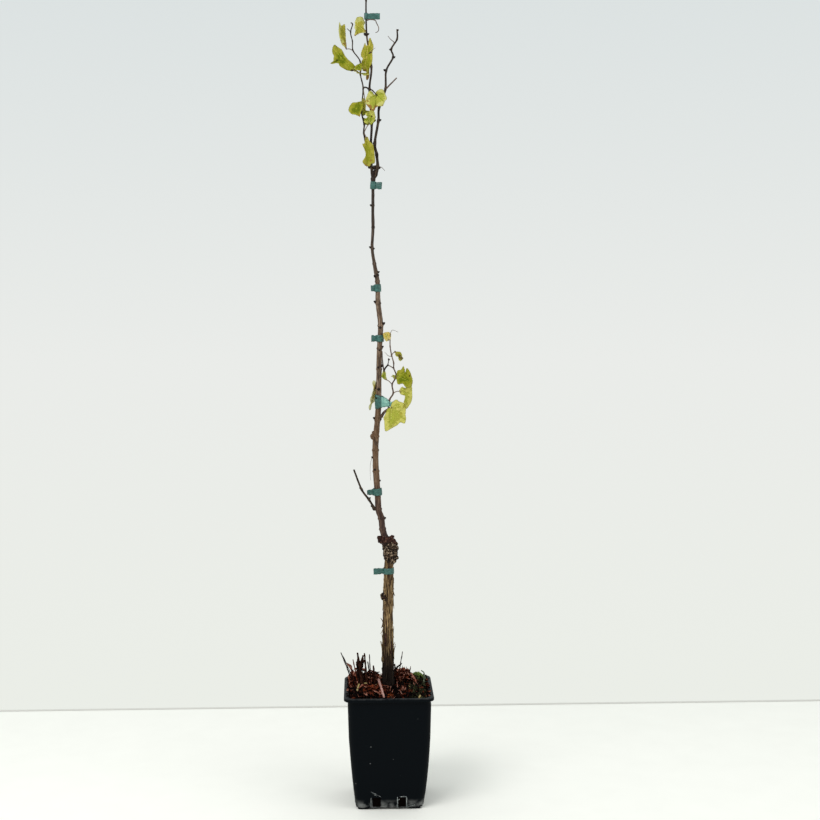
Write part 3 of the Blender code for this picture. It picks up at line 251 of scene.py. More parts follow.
# outlines of the blades that face the front, in mm to the right of and above the leaf's foot
LEAF_OUTLINES = {
    "crown": (
        (1.3, 22.6), (5.3, 21.6), (7.1, 16.6), (8.9, 12.5), (7.1, 7.9), (7.5, 2.5), (10, -0.7),
        (10.3, -4.4), (5.8, -5.4), (1.2, -6.4), (-2.5, -8.2), (-6.1, -10.6), (-8.1, -12.4),
        (-9.2, -9.6), (-7.8, -4.9), (-7.6, -1.4), (-9, 1.5), (-7.9, 7.9), (-8.4, 12.2), (-6.3, 17),
        (-4.9, 20.6), (-2.1, 22),
    ),
    "blade": (
        (-6.7, 34.6), (-5.1, 29.4), (-2.7, 28), (0.7, 31.5), (2.9, 29.4), (3.2, 23.5), (3.7, 14.4),
        (4.1, 6.2), (4.6, -3), (5.1, -12.8), (1.6, -8.6), (-2.1, -5.9), (-4.4, -1.2), (-6, 4.3),
        (-7.3, 11.6), (-8.1, 18), (-7.6, 25.3),
    ),
    "folded": (
        (-20.8, 32.3), (-17.3, 30.3), (-13, 25.8), (-8.4, 22), (-5.2, 16.7), (-1.8, 10.2), (2.8, 4.7),
        (8.4, -0.4), (12.8, -5.1), (12.6, -10.1), (10.2, -16.2), (3.6, -14.7), (-2.1, -13.7),
        (-8.6, -10.8), (-12.1, -7.9), (-13.3, -4.5), (-17.8, -3.6), (-22.4, -4.7), (-27.2, -4.4),
        (-22.4, -0.2), (-22.1, 6.6), (-21.4, 10.1), (-24.1, 16.6), (-24.3, 23), (-22.8, 28.9),
    ),
    "patch": (
        (-7.3, 2.9), (-2.2, 7), (2.9, 8.6), (5.4, 4.8), (5, -0.7), (3.2, -4.2), (-2.2, -4.2),
        (-6.8, -2.6),
    ),
    "hanging": (
        (2.3, 15.1), (5.5, 9.7), (8.2, 2.4), (7.7, -4.9), (6.4, -9.5), (6.7, -15.9), (6.3, -23.2),
        (4.6, -28.7), (1.9, -34.2), (1.2, -38.8), (0.6, -48.9), (-3.2, -53.3), (-4.4, -48.9),
        (-3.1, -42.5), (-4.7, -38.8), (-9.8, -37.2), (-10.9, -30.6), (-12.5, -25.6), (-9.7, -18.3),
        (-12.6, -14.3), (-12.4, -8.7), (-9.6, -1.4), (-5.9, 8), (-4.5, 4.1), (-2.2, 3.4), (-0.1, 9.6),
    ),
    "fan": (
        (-10.8, 6.7), (-7.3, 5.1), (-4.2, 0.7), (-0.2, 7.3), (4.7, 10), (9.8, 9.5), (12.5, 5.6),
        (14.7, -0.2), (16.6, -3.6), (16, -7.7), (13.6, -10.1), (11.7, -14.9), (9.5, -18.6),
        (5.6, -19.2), (1.6, -19.8), (-2.3, -21.7), (-3.8, -25.6), (-7.2, -27.4), (-11.2, -24.5),
        (-15.1, -20.8), (-17.2, -17.9), (-19, -13.9), (-19.4, -9), (-17, -3.2), (-15.2, 1.8),
        (-13.2, 5.7),
    ),
    "round": (
        (-15.8, 1.8), (-13.7, 7.5), (-8.7, 12.5), (-2.8, 12.7), (2.1, 13.7), (6.5, 14.5), (8.4, 9.7),
        (8.5, 3.9), (7.1, 0), (5.1, -4.1), (3.1, -11.7), (0, -10.2), (-4.7, -8), (-8.8, -7.3),
        (-12.7, -4.9), (-15.3, -1.5),
    ),
    "sliver": (
        (-3.3, 5.6), (-0.1, 6.1), (1.8, 0.7), (2.2, -4.1), (1.8, -10), (0.7, -14.4), (-2.2, -14.6),
        (-3.8, -12.9), (-4.5, -7.1), (-4.7, 0.7),
    ),
    "notched": (
        (-2.5, 13.2), (-7.9, 9.3), (-7.2, 6.4), (-4.3, 3.4), (-8.4, -0.4), (-10.2, -5.3), (-7.5, -7.4),
        (-2.6, -8.8), (1.6, -9.4), (4.5, -6.4), (7.6, -2.3), (8.9, 3.5), (8.1, 9.3), (6.4, 14.4),
        (1.5, 15.5),
    ),
    "hourglass": (
        (-4.8, 13.7), (-1.2, 13.5), (2.3, 6.3), (7.2, 1.9), (9.3, -3.9), (10.2, -13.7), (11.2, -24.4),
        (10, -29.5), (5.2, -30.4), (2.1, -34.5), (-3.8, -34.3), (-8, -31.4), (-10.1, -27.5),
        (-7.7, -23.4), (-5.2, -18.6), (-4.7, -13.7), (-6.5, -7.9), (-8.8, -3), (-10, 2), (-6.6, 2.8),
        (-6, 8.7),
    ),
    "claw": (
        (-9.3, -0.6), (-7.3, 7.2), (-1.4, 9.1), (2.5, 15), (4.6, 9.8), (5.5, 4), (8.5, 11.3),
        (13.7, 5.5), (16.8, -3.3), (18.4, -11.2), (16.5, -18.4), (11.6, -21.9), (5.7, -20.3),
        (1.1, -15), (-6.7, -15.8), (-9, -10.4),
    ),
    "strip": (
        (-8.4, 3.7), (-4.2, 9.6), (1, 7.5), (6, 9.5), (12.5, 11.1), (13.5, -2.3), (13.2, -12.7),
        (10.4, -19.5), (4.2, -28), (0.3, -24.4), (-1.7, -18.5), (0.4, -11.4), (0.5, -5.5), (-2.9, -4.4),
        (-6.8, -2.7),
    ),
    "broad": (
        (-7.4, 12.6), (-0.5, 16.7), (3.3, 13.8), (10.8, 11.2), (15, 3.3), (14.2, -9.7), (15.2, -13.7),
        (12.8, -23.1), (5.5, -21.5), (-1, -26.9), (-10.2, -31.9), (-19.6, -36), (-21.4, -29.2),
        (-21.9, -18.7), (-23.2, -13.5), (-19.5, -5.7), (-15.8, 1.9), (-11.6, 4),
    ),
    "small": (
        (-8.6, 4.7), (-5.3, 12.8), (-1.4, 9.9), (-0.6, 2.7), (0.7, -3.4), (-4, -2.1), (-7.9, 1.8),
    ),
    "shrunk": (
        (-6.3, 6), (-2.5, 4.7), (3.7, 3.9), (6.3, 0), (7, -5.2), (9.2, -6.3), (5, -11), (1.1, -9.7),
        (-0.2, -4.4), (-3.5, -3.1), (-5.4, 2.1),
    ),
    "tuft": (
        (-7.3, 8.5), (0.3, 10.3), (5, 7.7), (5.1, 0.9), (3.9, -2.7), (1.5, -4.5), (-3.4, -5),
        (-6.8, 0.7), (-7.8, 4.9),
    ),
}
# dead spots on the named blades: right, up, radius
LEAF_SPOTS = {
    "notched": ((2.8, 4.5, 1.5),), "folded": ((-16.4, 2.9, 1.3), (8.5, -14.4, 2.4)),
    "broad": ((6.2, -7.1, 2.7),), "hanging": ((3.3, -9, 1.8), (4.2, -31.5, 2.2), (-2.8, -48, 4)),
    "claw": ((12.9, -2.1, 1.3),),
}
# where the stalk meets a named blade and its veins start: right, up
LEAF_HEARTS = {
    "crown": (8.6, -3), "blade": (4.6, -11.5), "folded": (9.4, -13.6), "patch": (4.6, 0),
    "hanging": (-0.5, 6), "fan": (-0.5, 0.5), "round": (6, 11.5), "sliver": (0, 5),
    "notched": (-1.2, -7.6), "hourglass": (-3.6, 12), "claw": (-7.6, -2.2), "strip": (-6.8, 1.8),
    "broad": (-9, 4), "small": (-1.6, -2.4), "shrunk": (-4.6, 4.2), "tuft": (1.2, -3.6),
}
PETIOLE_RADII = (0.75, 0.6)
LEAF_SEED = 100
PLAIN_LEAF_SEED = 1000
LEAF_THICKNESS = 0.34
LEAF_COLUMNS = 104
LEAF_RINGS = 12
LEAF_REACH = 0.72  # a plain blade's side reach, over the leaf's length
LARGE_SPOT = 2.6  # from this radius on a dead spot is the scorched tint
TOOTH_SPACING = 3.1
TOOTH_DEPTH = 0.75
VEIN_ANGLES = tuple(math.radians(a) for a in (-105.0, -52.0, 0.0, 52.0, 105.0))

# ---- buds: height on the limb, azimuth, length ----
MAIN_BUDS = (
    (489.5, 10, 5), (555, -10, 4), (574, 250, 4), (595, 185, 4.8), (662, 185, 4.6), (660, 10, 4.4),
    (697, 228, 4.2), (714, 190, 3.8), (712, 268, 5.4), (752, -20, 6.2), (749, 255, 4), (779, 265, 3.6),
    (784, -20, 4.4), (817, 262, 4.6), (823.5, -5, 5.8), (860, 185, 5.6), (911, -10, 4.8),
    (953, 180, 4.6), (987, 262, 3.8), (1023.5, 190, 4.2), (904, 215, 5.4), (906, -60, 5.2),
    (951, 330, 3.6), (540, 90, 4), (690, 80, 4.6), (880, 95, 4.2),
)
BUD_LEAN = 0.55  # rise over reach
BUD_RINGS = 8
BUD_SECTORS = 9
MAIN_KNOBS = ((634, 180, 5.6), (631, 215, 4.6), (640, 160, 4.2))
LEADER_BUDS = (
    (1161.5, 200, 3.6), (1218, 180, 3.2), (1308, 185, 6), (1308.5, -5, 4.2), (1392, 190, 2.8),
)
RIGHT_BUDS = (
    (1086, 0, 5.2), (1127, 190, 2.4), (1165, 0, 4.6), (1248, 180, 4.6), (1269, 0, 4.4),
    (1282, 180, 3.6), (1314, 20, 3.2),
)
DEAD_TWIG_BUDS = ((512.5, 190, 4), (527, 20, 3.4), (545, 180, 3))

# ---- tendrils: points and radius ----
TENDRILS = (
    (
        (
            (-31, -4, 1331), (-26.8, -7, 1331.6), (-18.5, -9, 1330), (-16, -8, 1325.7),
            (-12.5, -7, 1318.2), (-13.5, -6, 1312.6), (-17.5, -5, 1310.6),
        ),
        1.0,
    ),
    (((-29.5, -8, 1276), (-25.9, -10, 1278.7), (-22, -10, 1282.2), (-18.2, -9, 1284.7)), 0.5),
    (((-14.5, -3.5, 1086), (-9.3, -5, 1088.5), (-6, -5, 1086), (-3.1, -5, 1082.7)), 0.6),
    (((14, -8, 1292), (12.2, -9, 1295), (7.3, -9, 1299), (2.8, -8, 1304.5)), 0.8),
    (((5, -10, 805), (6.6, -10, 812.6), (10.1, -11, 815.2), (18.6, -10, 811.7)), 0.5),
    (((6.8, -9, 770.5), (1.4, -10, 771.8), (-1.5, -9, 775), (-4.5, -8, 777.8)), 0.5),
    (((-27, -3, 597), (-29.4, -5, 585), (-29.8, -6, 572), (-29.1, -6, 558.6)), 0.32),
)

# ---- side twigs of the shoots: points, radii, finish (0 the cane's own, 1 bud scales, 2 shoot rind) ----
LOWER_TWIGS = (
    (
        ((11, -9.5, 750), (6, -11, 753.5), (1, -11, 756.2), (1.6, -12, 760), (2.4, -12, 765.2)),
        (0.9, 0.7), 0,
    ),
    (((1, -11, 756.2), (-4.2, -9.4, 749.5), (-7.6, -7.4, 738)), (1.3, 1.5), 1),
    (((-5.8, -7, 745), (-8, -5.4, 763), (-8.6, -4.6, 779)), (1.2, 0.7), 0),
)
LOWER_TWIG_KNOBS = ((2.4, -12, 765.4, 1.7), (1, -11.2, 756.4, 1.4))
LEFT_TWIGS = (
    (((-58.5, -1.5, 1312), (-61.5, -3, 1314), (-65, -4, 1317.1)), (0.8, 0.55), 0),
    (((-39.2, -2, 1218), (-36.8, -2, 1221), (-33, -2, 1220.6), (-28.6, -2, 1218.5)), (1.3, 1.3), 0),
    (((-29.5, -3, 1219), (-24, -9, 1215.5), (-20, -12, 1211), (-16.5, -12.5, 1207.5)), (1.2, 0.9), 0),
)
LOWER_SPUR_NODES = 5  # the thick old foot of the lower shoot
LOWER_SPUR_RADII = (3.1, 2.1)

# ---- tape ties: limb, height, room round it, band height, tail length, azimuth, tilt, tail's narrowing ----
TAPE_THICKNESS = 0.35
TIES = (
    ("leader_cane", 1338.8, 0.7, 10, 20.5, 0, 0, 0), ("main_cane", 1058.6, 0.6, 12.6, 11, -20, 5, 0.08),
    ("main_cane", 886.2, 0.5, 12.6, 6.5, 195, 3, 0.25), ("main_cane", 801, 0.9, 11.5, 9, 190, 0, 0.05),
    ("main_cane", 538.5, 0.4, 12, 10.5, 185, 3.5, 0.4), ("trunk", 401.3, 0.5, 10.5, 17, 185, 2, 0),
)
WIDE_TIE_HEIGHT = 24.0
WIDE_TIE_LEVEL = 693.5
WIDE_TIE_ROOM = 0.8
WIDE_TIE_FAR = 3.2
WIDE_TIE_SHOOT_NODE = 5
WIDE_TIE_GATHER = 0.34  # its height at the shoot, over that at the cane
WIDE_TIE_DROP = 4.2

# ---- dead weed stubble: foot and tip (right, back, height over the compost), radius, tint ----
STUBBLE = (
    ((-58.5, 10, 3), (-82, 16, 70), 1.5, 0), ((-54, 3, 3), (-78, 7, 66), 1.1, 0),
    ((-51, 8, 3), (-61, 12, 58), 1.8, 1), ((-44, 4, 3), (-53, 8, 70), 3.4, 7),
    ((-49.5, 6.5, 40), (-43.5, 3, 67), 3, 7), ((-47, 8, 34), (-52.5, 6, 55), 2.4, 7),
    ((-36.5, 6, 3), (-41, 11, 69), 2.5, 7), ((-30, 5, 3), (-32.5, 9, 68), 1.4, 7),
    ((-22.5, 12, 3), (-25.5, 14, 46), 2.9, 7), ((16, 14, 3), (25.5, 20, 69), 1.4, 7),
    ((17, 24, 3), (12, 30, 44), 2.6, 7), ((-30, 36, 3), (-35, 42, 46), 1.8, 0),
    ((3, 40, 3), (7, 46, 44), 1.7, 0), ((-9, -34, 3), (-5, -40, 20), 1.5, 1),
    ((36, 34, 3), (40, 30, 40), 1.4, 1), ((12, 20, 36), (24, 24, 47), 2, 0),
)
# ---- lying straws: points (right, back, height over the bed), radius, tint ----
LYING_STRAWS = (
    (((-17.2, 42, 5), (-14.5, -14, 8), (-8.5, -61, 6)), 2.4, 6),
    (((14, 42, 9), (15.5, 0, 7), (16, -54, 2)), 0.8, 2),
    (((44, 11, 4), (46.5, -10, 5), (48, -32, 2)), 0.8, 2),
    (((-53.6, -17.7, 3.5), (-49, 4, 8), (-37.4, 4.5, 5)), 1.7, 3),
    (((63, 34, 2), (64.5, 44, 14), (60, 52, 16)), 1.2, 5),
    (((-34, 28, 6), (-10, 46, 12), (20, 50, 8)), 1, 2),
)
# ---- curled dead leaves: right, back, height over the bed, azimuth, rise, length, width, tint family ----
DEAD_LEAVES = (
    (-31, -8, 2, 200, 25, 24, 0.8, 1), (-22, -32, 2, 300, 22, 22, 0.9, 1),
    (-13, -26, 3, 20, 30, 18, 0.8, 1), (0.5, -47, 3, 15, 25, 13, 1, 4),
    (-60, 34, 4, 180, 88, 36, 0.2, 2), (-52, 34, 2, 120, 40, 20, 0.8, 1),
    (16, 38, 6, -30, 20, 26, 0.8, 1), (31, 34, 4, -30, 5, 20, 0.7, 2), (22, 26, 4, 70, 50, 22, 0.8, 1),
    (36, 22, 3, -60, 30, 22, 0.8, 1), (66, 40, 1, 100, 60, 18, 0.25, 5),
    (-57, -37, 2, 10, 20, 8, 0.8, 3), (29.7, -33, 2, 90, 60, 10, 0.6, 2), (-40, 8, 3, 90, 50, 24, 1, 1),
    (-36, 46, 6, 200, 50, 26, 0.8, 1), (8, 50, 5, 60, 40, 22, 0.8, 1), (44, -8, 2, 330, 30, 18, 0.9, 0),
    (-48, -48, 1.5, 220, 15, 16, 0.9, 0), (-61, 10, 6, 95, 78, 24, 0.7, 1),
    (-56, 12, 10, 60, 70, 20, 0.8, 1), (-50.5, 5, 34, 100, 70, 19, 0.5, 7),
    (-46, 6, 38, 75, 60, 15, 0.5, 7), (-48, 6, 14, 110, 60, 22, 0.6, 7),
    (22, 30, 5, 85, 40, 17, 0.8, 6), (31, 26, 4, 60, 35, 17, 0.8, 6), (37, 18, 3, 20, 25, 16, 0.8, 6),
    (-34, -22, 4, 20, 18, 28, 0.8, 6), (-24, -18, 5, 340, 25, 24, 0.9, 6),
)
# ---- strewn litter: seeds, numbers, sizes, and the share of each tint ----
LITTER_SEED = 77
TRUNK_CLEAR = 11.5
FLAKES = 1500
FLAKE_SIZES = (1.6, 5.6)
HEAPS = ((-44, 34, 8, 22, 26), (24, 38, 12, 16, 20))  # right, back, height, half widths
WHOLE_BED = (0, 0, 0, 55, 55)
BED_TINT_SHARES = (0.73, 0.245, 0.015, 0.01)
HEAP_TINT_SHARES = (0.40, 0.48, 0.11, 0.01)
GREEN_SIDE = 36.0
DARK_GREEN = 8
FOOT_SHADOW_PATCH = (6, -12, 17, 24)  # painted shadow before the trunk's foot, where every flake is black mould: middle and half widths
RIM_SCRAPS = 210
RIM_FRONT = -58.0
RIM_LEVELS = (196.2, 198.2)
RIM_TINT_SHARES = (0.72, 0.24, 0.04)
STRAWS = 70
STRAW_LENGTHS = (8, 30)
STRAW_LIMIT = 65.0
STRAW_TINT_SHARES = (0.45, 0.35, 0.17, 0.03)
HEAPED_LEAVES = 60
HEAPED_LIMIT = 58.0
HEAPED_LEAF_SHARES = (0.43, 0.46, 0.11)
SPIKES = 70
SPIKE_HEIGHTS = (8, 22)
SPIKE_TINT_SHARES = (0.6, 0.35, 0.05)
MOSS_SEED = 5
MOSS_BLADES = 900

# ---- stage, in m ----
FLOOR_HALF_WIDTH = 3.0
# start of the grey strip that paints the shadow line at the floor's back edge
JUNCTION_SHADOW_START = 0.540
FLOOR_END = 0.551
LIT_POINT = (0.0, 0.0, 0.8)

# ---- camera: height, distance and side step in m, turns in degrees, focal length in pixels of its frame ----
FRAME_PIXELS = 820
FOCAL_PIXELS = 1360.0
SENSOR_WIDTH = 36.0
CAMERA_HEIGHT = 0.8564
CAMERA_DISTANCE = 2.3158
CAMERA_SIDE = 0.03868
CAMERA_DIP = 4.388
CAMERA_ROLL = -0.116
CAMERA_YAW = 2.12

# ---- meshes: domed limb ends over the radius, rings and sectors of a lump, numbers of the noise's hash ----
DOME_REACH = np.array((0.25, 0.6, 0.9))
DOME_WIDTHS = np.array((0.95, 0.78, 0.45))
LUMP_RINGS = 9
LUMP_SECTORS = 14
HASH_PRIMES = (73856093, 19349663, 83492791)
HASH_SEED = 265443576
HASH_STIR = 1274126177


# ================================================================================= mesh tools

class Growth:
    """Closed surfaces gathered for one piece: points in mm, and faces with the number of their finish."""

    def __init__(self):
        self.points, self.faces, self.finishes, self.count = [], [], [], 0

    def add(self, points, faces, finish=0):
        """faces is a list of index arrays; finish is one number, or a list with an array for each of them."""
        for number, face in enumerate(faces):
            self.faces.append(face + self.count)
            dealt = finish[number] if isinstance(finish, list) else finish
            self.finishes.append(np.broadcast_to(dealt, len(face)).astype(np.int32))
        self.points.append(points)
        self.count += len(points)


def placed(name, data):
    """A new object that holds the given data, linked to the scene."""
    made = bpy.data.objects.new(name, data)
    bpy.context.scene.collection.objects.link(made)
    return made


def make_piece(name, growth, finishes, stands_for=()):
    """Turns gathered surfaces into one object at the origin, in metres, riding on the root body."""
    points = np.concatenate(growth.points) * MM
    corners = np.concatenate([face.ravel() for face in growth.faces]).astype(np.int32)
    sizes = np.concatenate([np.full(len(face), face.shape[1]) for face in growth.faces])
    starts = np.concatenate(([0], np.cumsum(sizes)[:-1])).astype(np.int32)
    mesh = bpy.data.meshes.new(name)
    mesh.vertices.add(len(points))
    mesh.loops.add(len(corners))
    mesh.polygons.add(len(sizes))
    mesh.vertices.foreach_set("co", points.astype(np.float32).ravel())
    mesh.loops.foreach_set("vertex_index", corners)
    mesh.polygons.foreach_set("loop_start", starts)
    mesh.polygons.foreach_set("material_index", np.concatenate(growth.finishes))
    mesh.polygons.foreach_set("use_smooth", np.ones(len(sizes), dtype=bool))
    for finish in finishes:
        mesh.materials.append(finish)
    mesh.update(calc_edges=True)
    mesh.validate()
    made = placed(name, mesh)
    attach(made, "root")
    if stands_for:
        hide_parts(*stands_for)
    return made


def lattice_noise(points, size, seed):
    """Smooth value noise from -1 to 1: hashed values on a lattice of cells, blended with 3t²-2t³."""
    q = np.asarray(points) / np.asarray(size, dtype=float)
    base = np.floor(q).astype(np.int64)
    t = q - base
    t = t * t * (3.0 - 2.0 * t)
    total = np.zeros(q.shape[:-1])
    for corner in np.ndindex(2, 2, 2):
        cell = base + np.array(corner)
        mixed = seed * HASH_SEED
        for axis, prime in enumerate(HASH_PRIMES):
            mixed = mixed ^ (cell[..., axis] * prime)
        mixed = mixed & 0xFFFFFFFF
        mixed = ((mixed ^ (mixed >> 13)) * HASH_STIR) & 0xFFFFFFFF
        value = ((mixed ^ (mixed >> 16)) & 0xFFFF) / 32767.5 - 1.0
        total += value * np.prod(np.where(np.array(corner) == 1, t, 1.0 - t), axis=-1)
    return total


def circle(count):
    """Even angles once round."""
    return np.arange(count) * TAU / count


def round_path(radius, angles):
    """Flat points on a circle."""
    return np.column_stack((radius * np.cos(angles), radius * np.sin(angles)))


def globe(rise, turn):
    """Unit directions from two angles: (cos rise · cos turn, cos rise · sin turn, sin rise)."""
    across = np.cos(rise)
    parts = np.broadcast_arrays(across * np.cos(turn), across * np.sin(turn), np.sin(rise))
    return np.stack(parts, axis=-1)


def turned_shape(widths, heights, sectors, flat=1.0):
    """Rings of a shape turned about Z, a radius and a height for each, and flattened along Y."""
    turn = circle(sectors)
    parts = (widths[:, None] * np.cos(turn), widths[:, None] * np.sin(turn) * flat, heights[:, None])
    return np.stack(np.broadcast_arrays(*parts), axis=-1)


def unit(vectors):
    """The same directions at length one."""
    return vectors / np.linalg.norm(vectors, axis=-1, keepdims=True)


def run_along(points):
    """Length of a path from its start to each of its points."""
    return np.concatenate(([0.0], np.cumsum(np.linalg.norm(np.diff(points, axis=0), axis=1))))


def spline(a, b, c, d, t):
    """Catmull-Rom: the point at a share t of the way from b to c, where a comes before them and d after."""
    return 0.5 * (2 * b + (c - a) * t + (2 * a - 5 * b + 4 * c - d) * t * t + (3 * (b - c) + d - a) * t ** 3)


def skin(rings):
    """Closes a stack of rings (stations, sectors, xyz): quads between them, and a fan to a pole at each end.

    Sectors turn counter-clockwise about the direction of the stations, so the faces point outwards.
    """
    stations, sectors = rings.shape[:2]
    here = np.arange(sectors)
    ahead = (here + 1) % sectors
    low = np.arange(stations - 1)[:, None] * sectors
    high = low + sectors
    quads = np.stack((low + here, low + ahead, high + ahead, high + here), axis=-1)
    first, last = stations * sectors, stations * sectors + 1
    top = first - sectors
    foot = np.stack((np.full(sectors, first), ahead, here), axis=-1)
    tip = np.stack((np.full(sectors, last), top + here, top + ahead), axis=-1)
    points = np.vstack((rings.reshape(-1, 3), rings[0].mean(axis=0), rings[-1].mean(axis=0)))
    return points, [quads.reshape(-1, 4), foot, tip]


def path_frames(points):
    """Unit directions along a path and two square to it: side = reference x along, up = along x side."""
    along = unit(np.gradient(points, axis=0))
    reference = np.eye(3)[np.argmin(np.abs(along).max(axis=0))]
    side = unit(np.cross(reference, along))
    return along, side, np.cross(along, side)


def limb(points, radii, sectors, relief=None):
    """A round limb: at each station the points c + r(cos a · side + sin a · up), with domed ends.

    relief takes the points and returns how far each is pushed out from the path, in mm.
    """
    along, side, up = path_frames(points)
    start = points[0] - along[0] * radii[0] * DOME_REACH[::-1, None]
    end = points[-1] + along[-1] * radii[-1] * DOME_REACH[:, None]
    centres = np.vstack((start, points, end))
    widths = np.concatenate((radii[0] * DOME_WIDTHS[::-1], radii, radii[-1] * DOME_WIDTHS))
    domes = len(DOME_REACH)
    side, up = (np.pad(axis, ((domes, domes), (0, 0)), mode="edge") for axis in (side, up))
    turn = circle(sectors)[None, :, None]
    outward = side[:, None] * np.cos(turn) + up[:, None] * np.sin(turn)
    rings = centres[:, None] + outward * widths[:, None, None]
    if relief is not None:
        rings = rings + outward * relief(rings)[..., None]
    return skin(rings)


def smooth_route(points, radii, count):
    """Catmull-Rom route through a few points, with radii blended evenly from end to end."""
    nodes = np.array(points, dtype=float)
    padded = np.vstack((2 * nodes[0] - nodes[1], nodes, 2 * nodes[-1] - nodes[-2]))
    place = np.linspace(0.0, len(nodes) - 1.000001, count)
    i = place.astype(int)
    route = spline(*(padded[i + k] for k in range(4)), (place - i)[:, None])
    return route, np.linspace(radii[0], radii[1], count)


def walk(foot, steps):
    """The nodes of a stem: its foot and the running sum of its steps."""
    return np.cumsum(np.array((foot, *steps), dtype=float), axis=0)


def stem_course(nodes, radii, swell):
    """Catmull-Rom course through the nodes, tapering from foot to tip.

    The first step is straight. At each node the radius swells by a bell curve 1.6 radii wide.
    """
    padded = np.vstack((nodes[0], nodes, nodes[-1]))
    before, start, end, after = (padded[k:len(padded) - 3 + k].copy() for k in range(4))
    before[0], after[0] = 2 * start[0] - end[0], 2 * end[0] - start[0]
    steps = np.maximum(2, np.ceil(np.linalg.norm(end - start, axis=1) / STEM_SPACING)).astype(int)
    i = np.repeat(np.arange(len(steps)), steps)
    t = np.concatenate([np.arange(n) / n for n in steps])[:, None]
    points = np.vstack((spline(before[i], start[i], end[i], after[i], t), nodes[-1]))
    run = run_along(points)
    taper = radii[0] + (radii[1] - radii[0]) * run / run[-1]
    knots = run[np.cumsum(steps)[:-1]]
    bells = np.exp(-(((run[:, None] - knots) / (1.6 * taper[:, None])) ** 2)).sum(axis=1)
    return points, taper * (1.0 + swell * np.minimum(bells, 1.2))


def course_at(course, height):
    """Centre and radius of a limb where it passes a height."""
    points, widths = course
    i = int(np.argmax(points[:, 2] >= height))
    low, high = points[max(i - 1, 0)], points[i]
    t = min(max((height - low[2]) / max(high[2] - low[2], 1e-6), 0.0), 1.0)
    return low + (high - low) * t, widths[max(i - 1, 0)] * (1 - t) + widths[i] * t


def heading(azimuth, rise=0.0):
    """Direction away from a limb: 0 degrees to the right, 90 to the back."""
    return np.array((math.cos(math.radians(azimuth)), math.sin(math.radians(azimuth)), rise))


def side_stem(course, height, azimuth, steps):
    """Nodes of a stem that leaves a limb squarely and then takes its steps, and its root inside the limb."""
    centre, radius = course_at(course, height)
    outward = heading(azimuth)
    foot = centre + outward * (radius + CLEARANCE)
    return walk(foot, (outward * SIDE_STUB, *steps)), centre


def turned_up(direction):
    """Rotation that takes +Z to a direction, as a 3 by 3 array."""
    turn = Vector((0, 0, 1)).rotation_difference(Vector(direction)).to_matrix()
    return np.array(turn)


# ================================================================================= materials

def tint(code):
    """sRGB hex colour as linear RGBA."""
    levels = np.array([int(code[i:i + 2], 16) for i in (1, 3, 5)]) / 255.0
    linear = np.where(levels <= 0.04045, levels / 12.92, ((levels + 0.055) / 1.055) ** 2.4)
    return (*(float(v) for v in linear), 1.0)


def put(tree, kind, links=None, values=None, **settings):
    """Adds one shader node with its settings, socket values and links, each link a pair (node, socket)."""
    made = tree.nodes.new("ShaderNode" + kind)
    for key, value in settings.items():
        setattr(made, key, value)
    for key, value in (values or {}).items():
        made.inputs[key].default_value = value
    for key, (source, socket) in (links or {}).items():
        tree.links.new(source.outputs[socket], made.inputs[key])
    return made


def blank(name, roughness, specular):
    """A new material, its node tree and its surface shader."""
    made = bpy.data.materials.new(name)
    made.use_nodes = True
    shader = made.node_tree.nodes["Principled BSDF"]
    shader.inputs["Roughness"].default_value = roughness
    shader.inputs["Specular IOR Level"].default_value = specular
    return made, made.node_tree, shader


def fill(ramp, colours):
    """Puts hex colours on a ramp, each at its stop, and returns the ramp's output."""
    elements = ramp.color_ramp.elements
    while len(elements) < len(colours):
        elements.new(0.5)
    for element, (stop, code) in zip(elements, colours.items()):
        element.position, element.color = stop, tint(code)
    return ramp, "Color"


def stretched(tree, grain):
    """Object coordinates squeezed so that one unit is a grain of the given size in mm along x, y and z."""
    where = (put(tree, "TexCoord"), "Object")
    return put(tree, "Mapping", {"Vector": where}, {"Scale": tuple(1000.0 / g for g in grain)}), "Vector"


def mottled(name, colours, grain, roughness, specular, bump, depth, detail=6.0):
    """A finish whose colour runs through a ramp over a noise of a real grain size, which also gives its bump.

    colours maps levels of the noise to hex colours; grain and the bump's depth are in mm.
    """
    made, tree, shader = blank(name, roughness, specular)
    noise = put(tree, "TexNoise", {"Vector": stretched(tree, grain)},
                {"Scale": 1.0, "Detail": detail, "Roughness": 0.62})
    colour = fill(put(tree, "ValToRGB", {"Fac": (noise, "Fac")}), colours)
    relief = put(tree, "Bump", {"Height": (noise, "Fac")}, {"Strength": bump, "Distance": depth * MM})
    tree.links.new(colour[0].outputs[colour[1]], shader.inputs["Base Color"])
    tree.links.new(relief.outputs["Normal"], shader.inputs["Normal"])
    return made, tree, shader, colour


def by_height(tree, low, high, amount):
    """Share that runs from 0 at one height to an amount at the other, both in mm."""
    split = put(tree, "SeparateXYZ", {"Vector": (put(tree, "TexCoord"), "Object")})
    limits = {"From Min": low * MM, "From Max": high * MM, "To Min": 0.0, "To Max": amount}
    return put(tree, "MapRange", {"Value": (split, "Z")}, limits), "Result"


def blotches(tree, grain, low, high, amount):
    """Share that runs from 0 to an amount where a noise of the given grain passes from low to high."""
    noise = put(tree, "TexNoise", {"Vector": stretched(tree, grain)}, {"Scale": 1.0, "Detail": 4.0})
    limits = {"From Min": low, "From Max": high, "To Min": 0.0, "To Max": amount}
    return put(tree, "MapRange", {"Value": (noise, "Fac")}, limits), "Result"


def both(tree, *shares):
    """The product of two shares."""
    return put(tree, "Math", dict(enumerate(shares)), operation="MULTIPLY"), "Value"


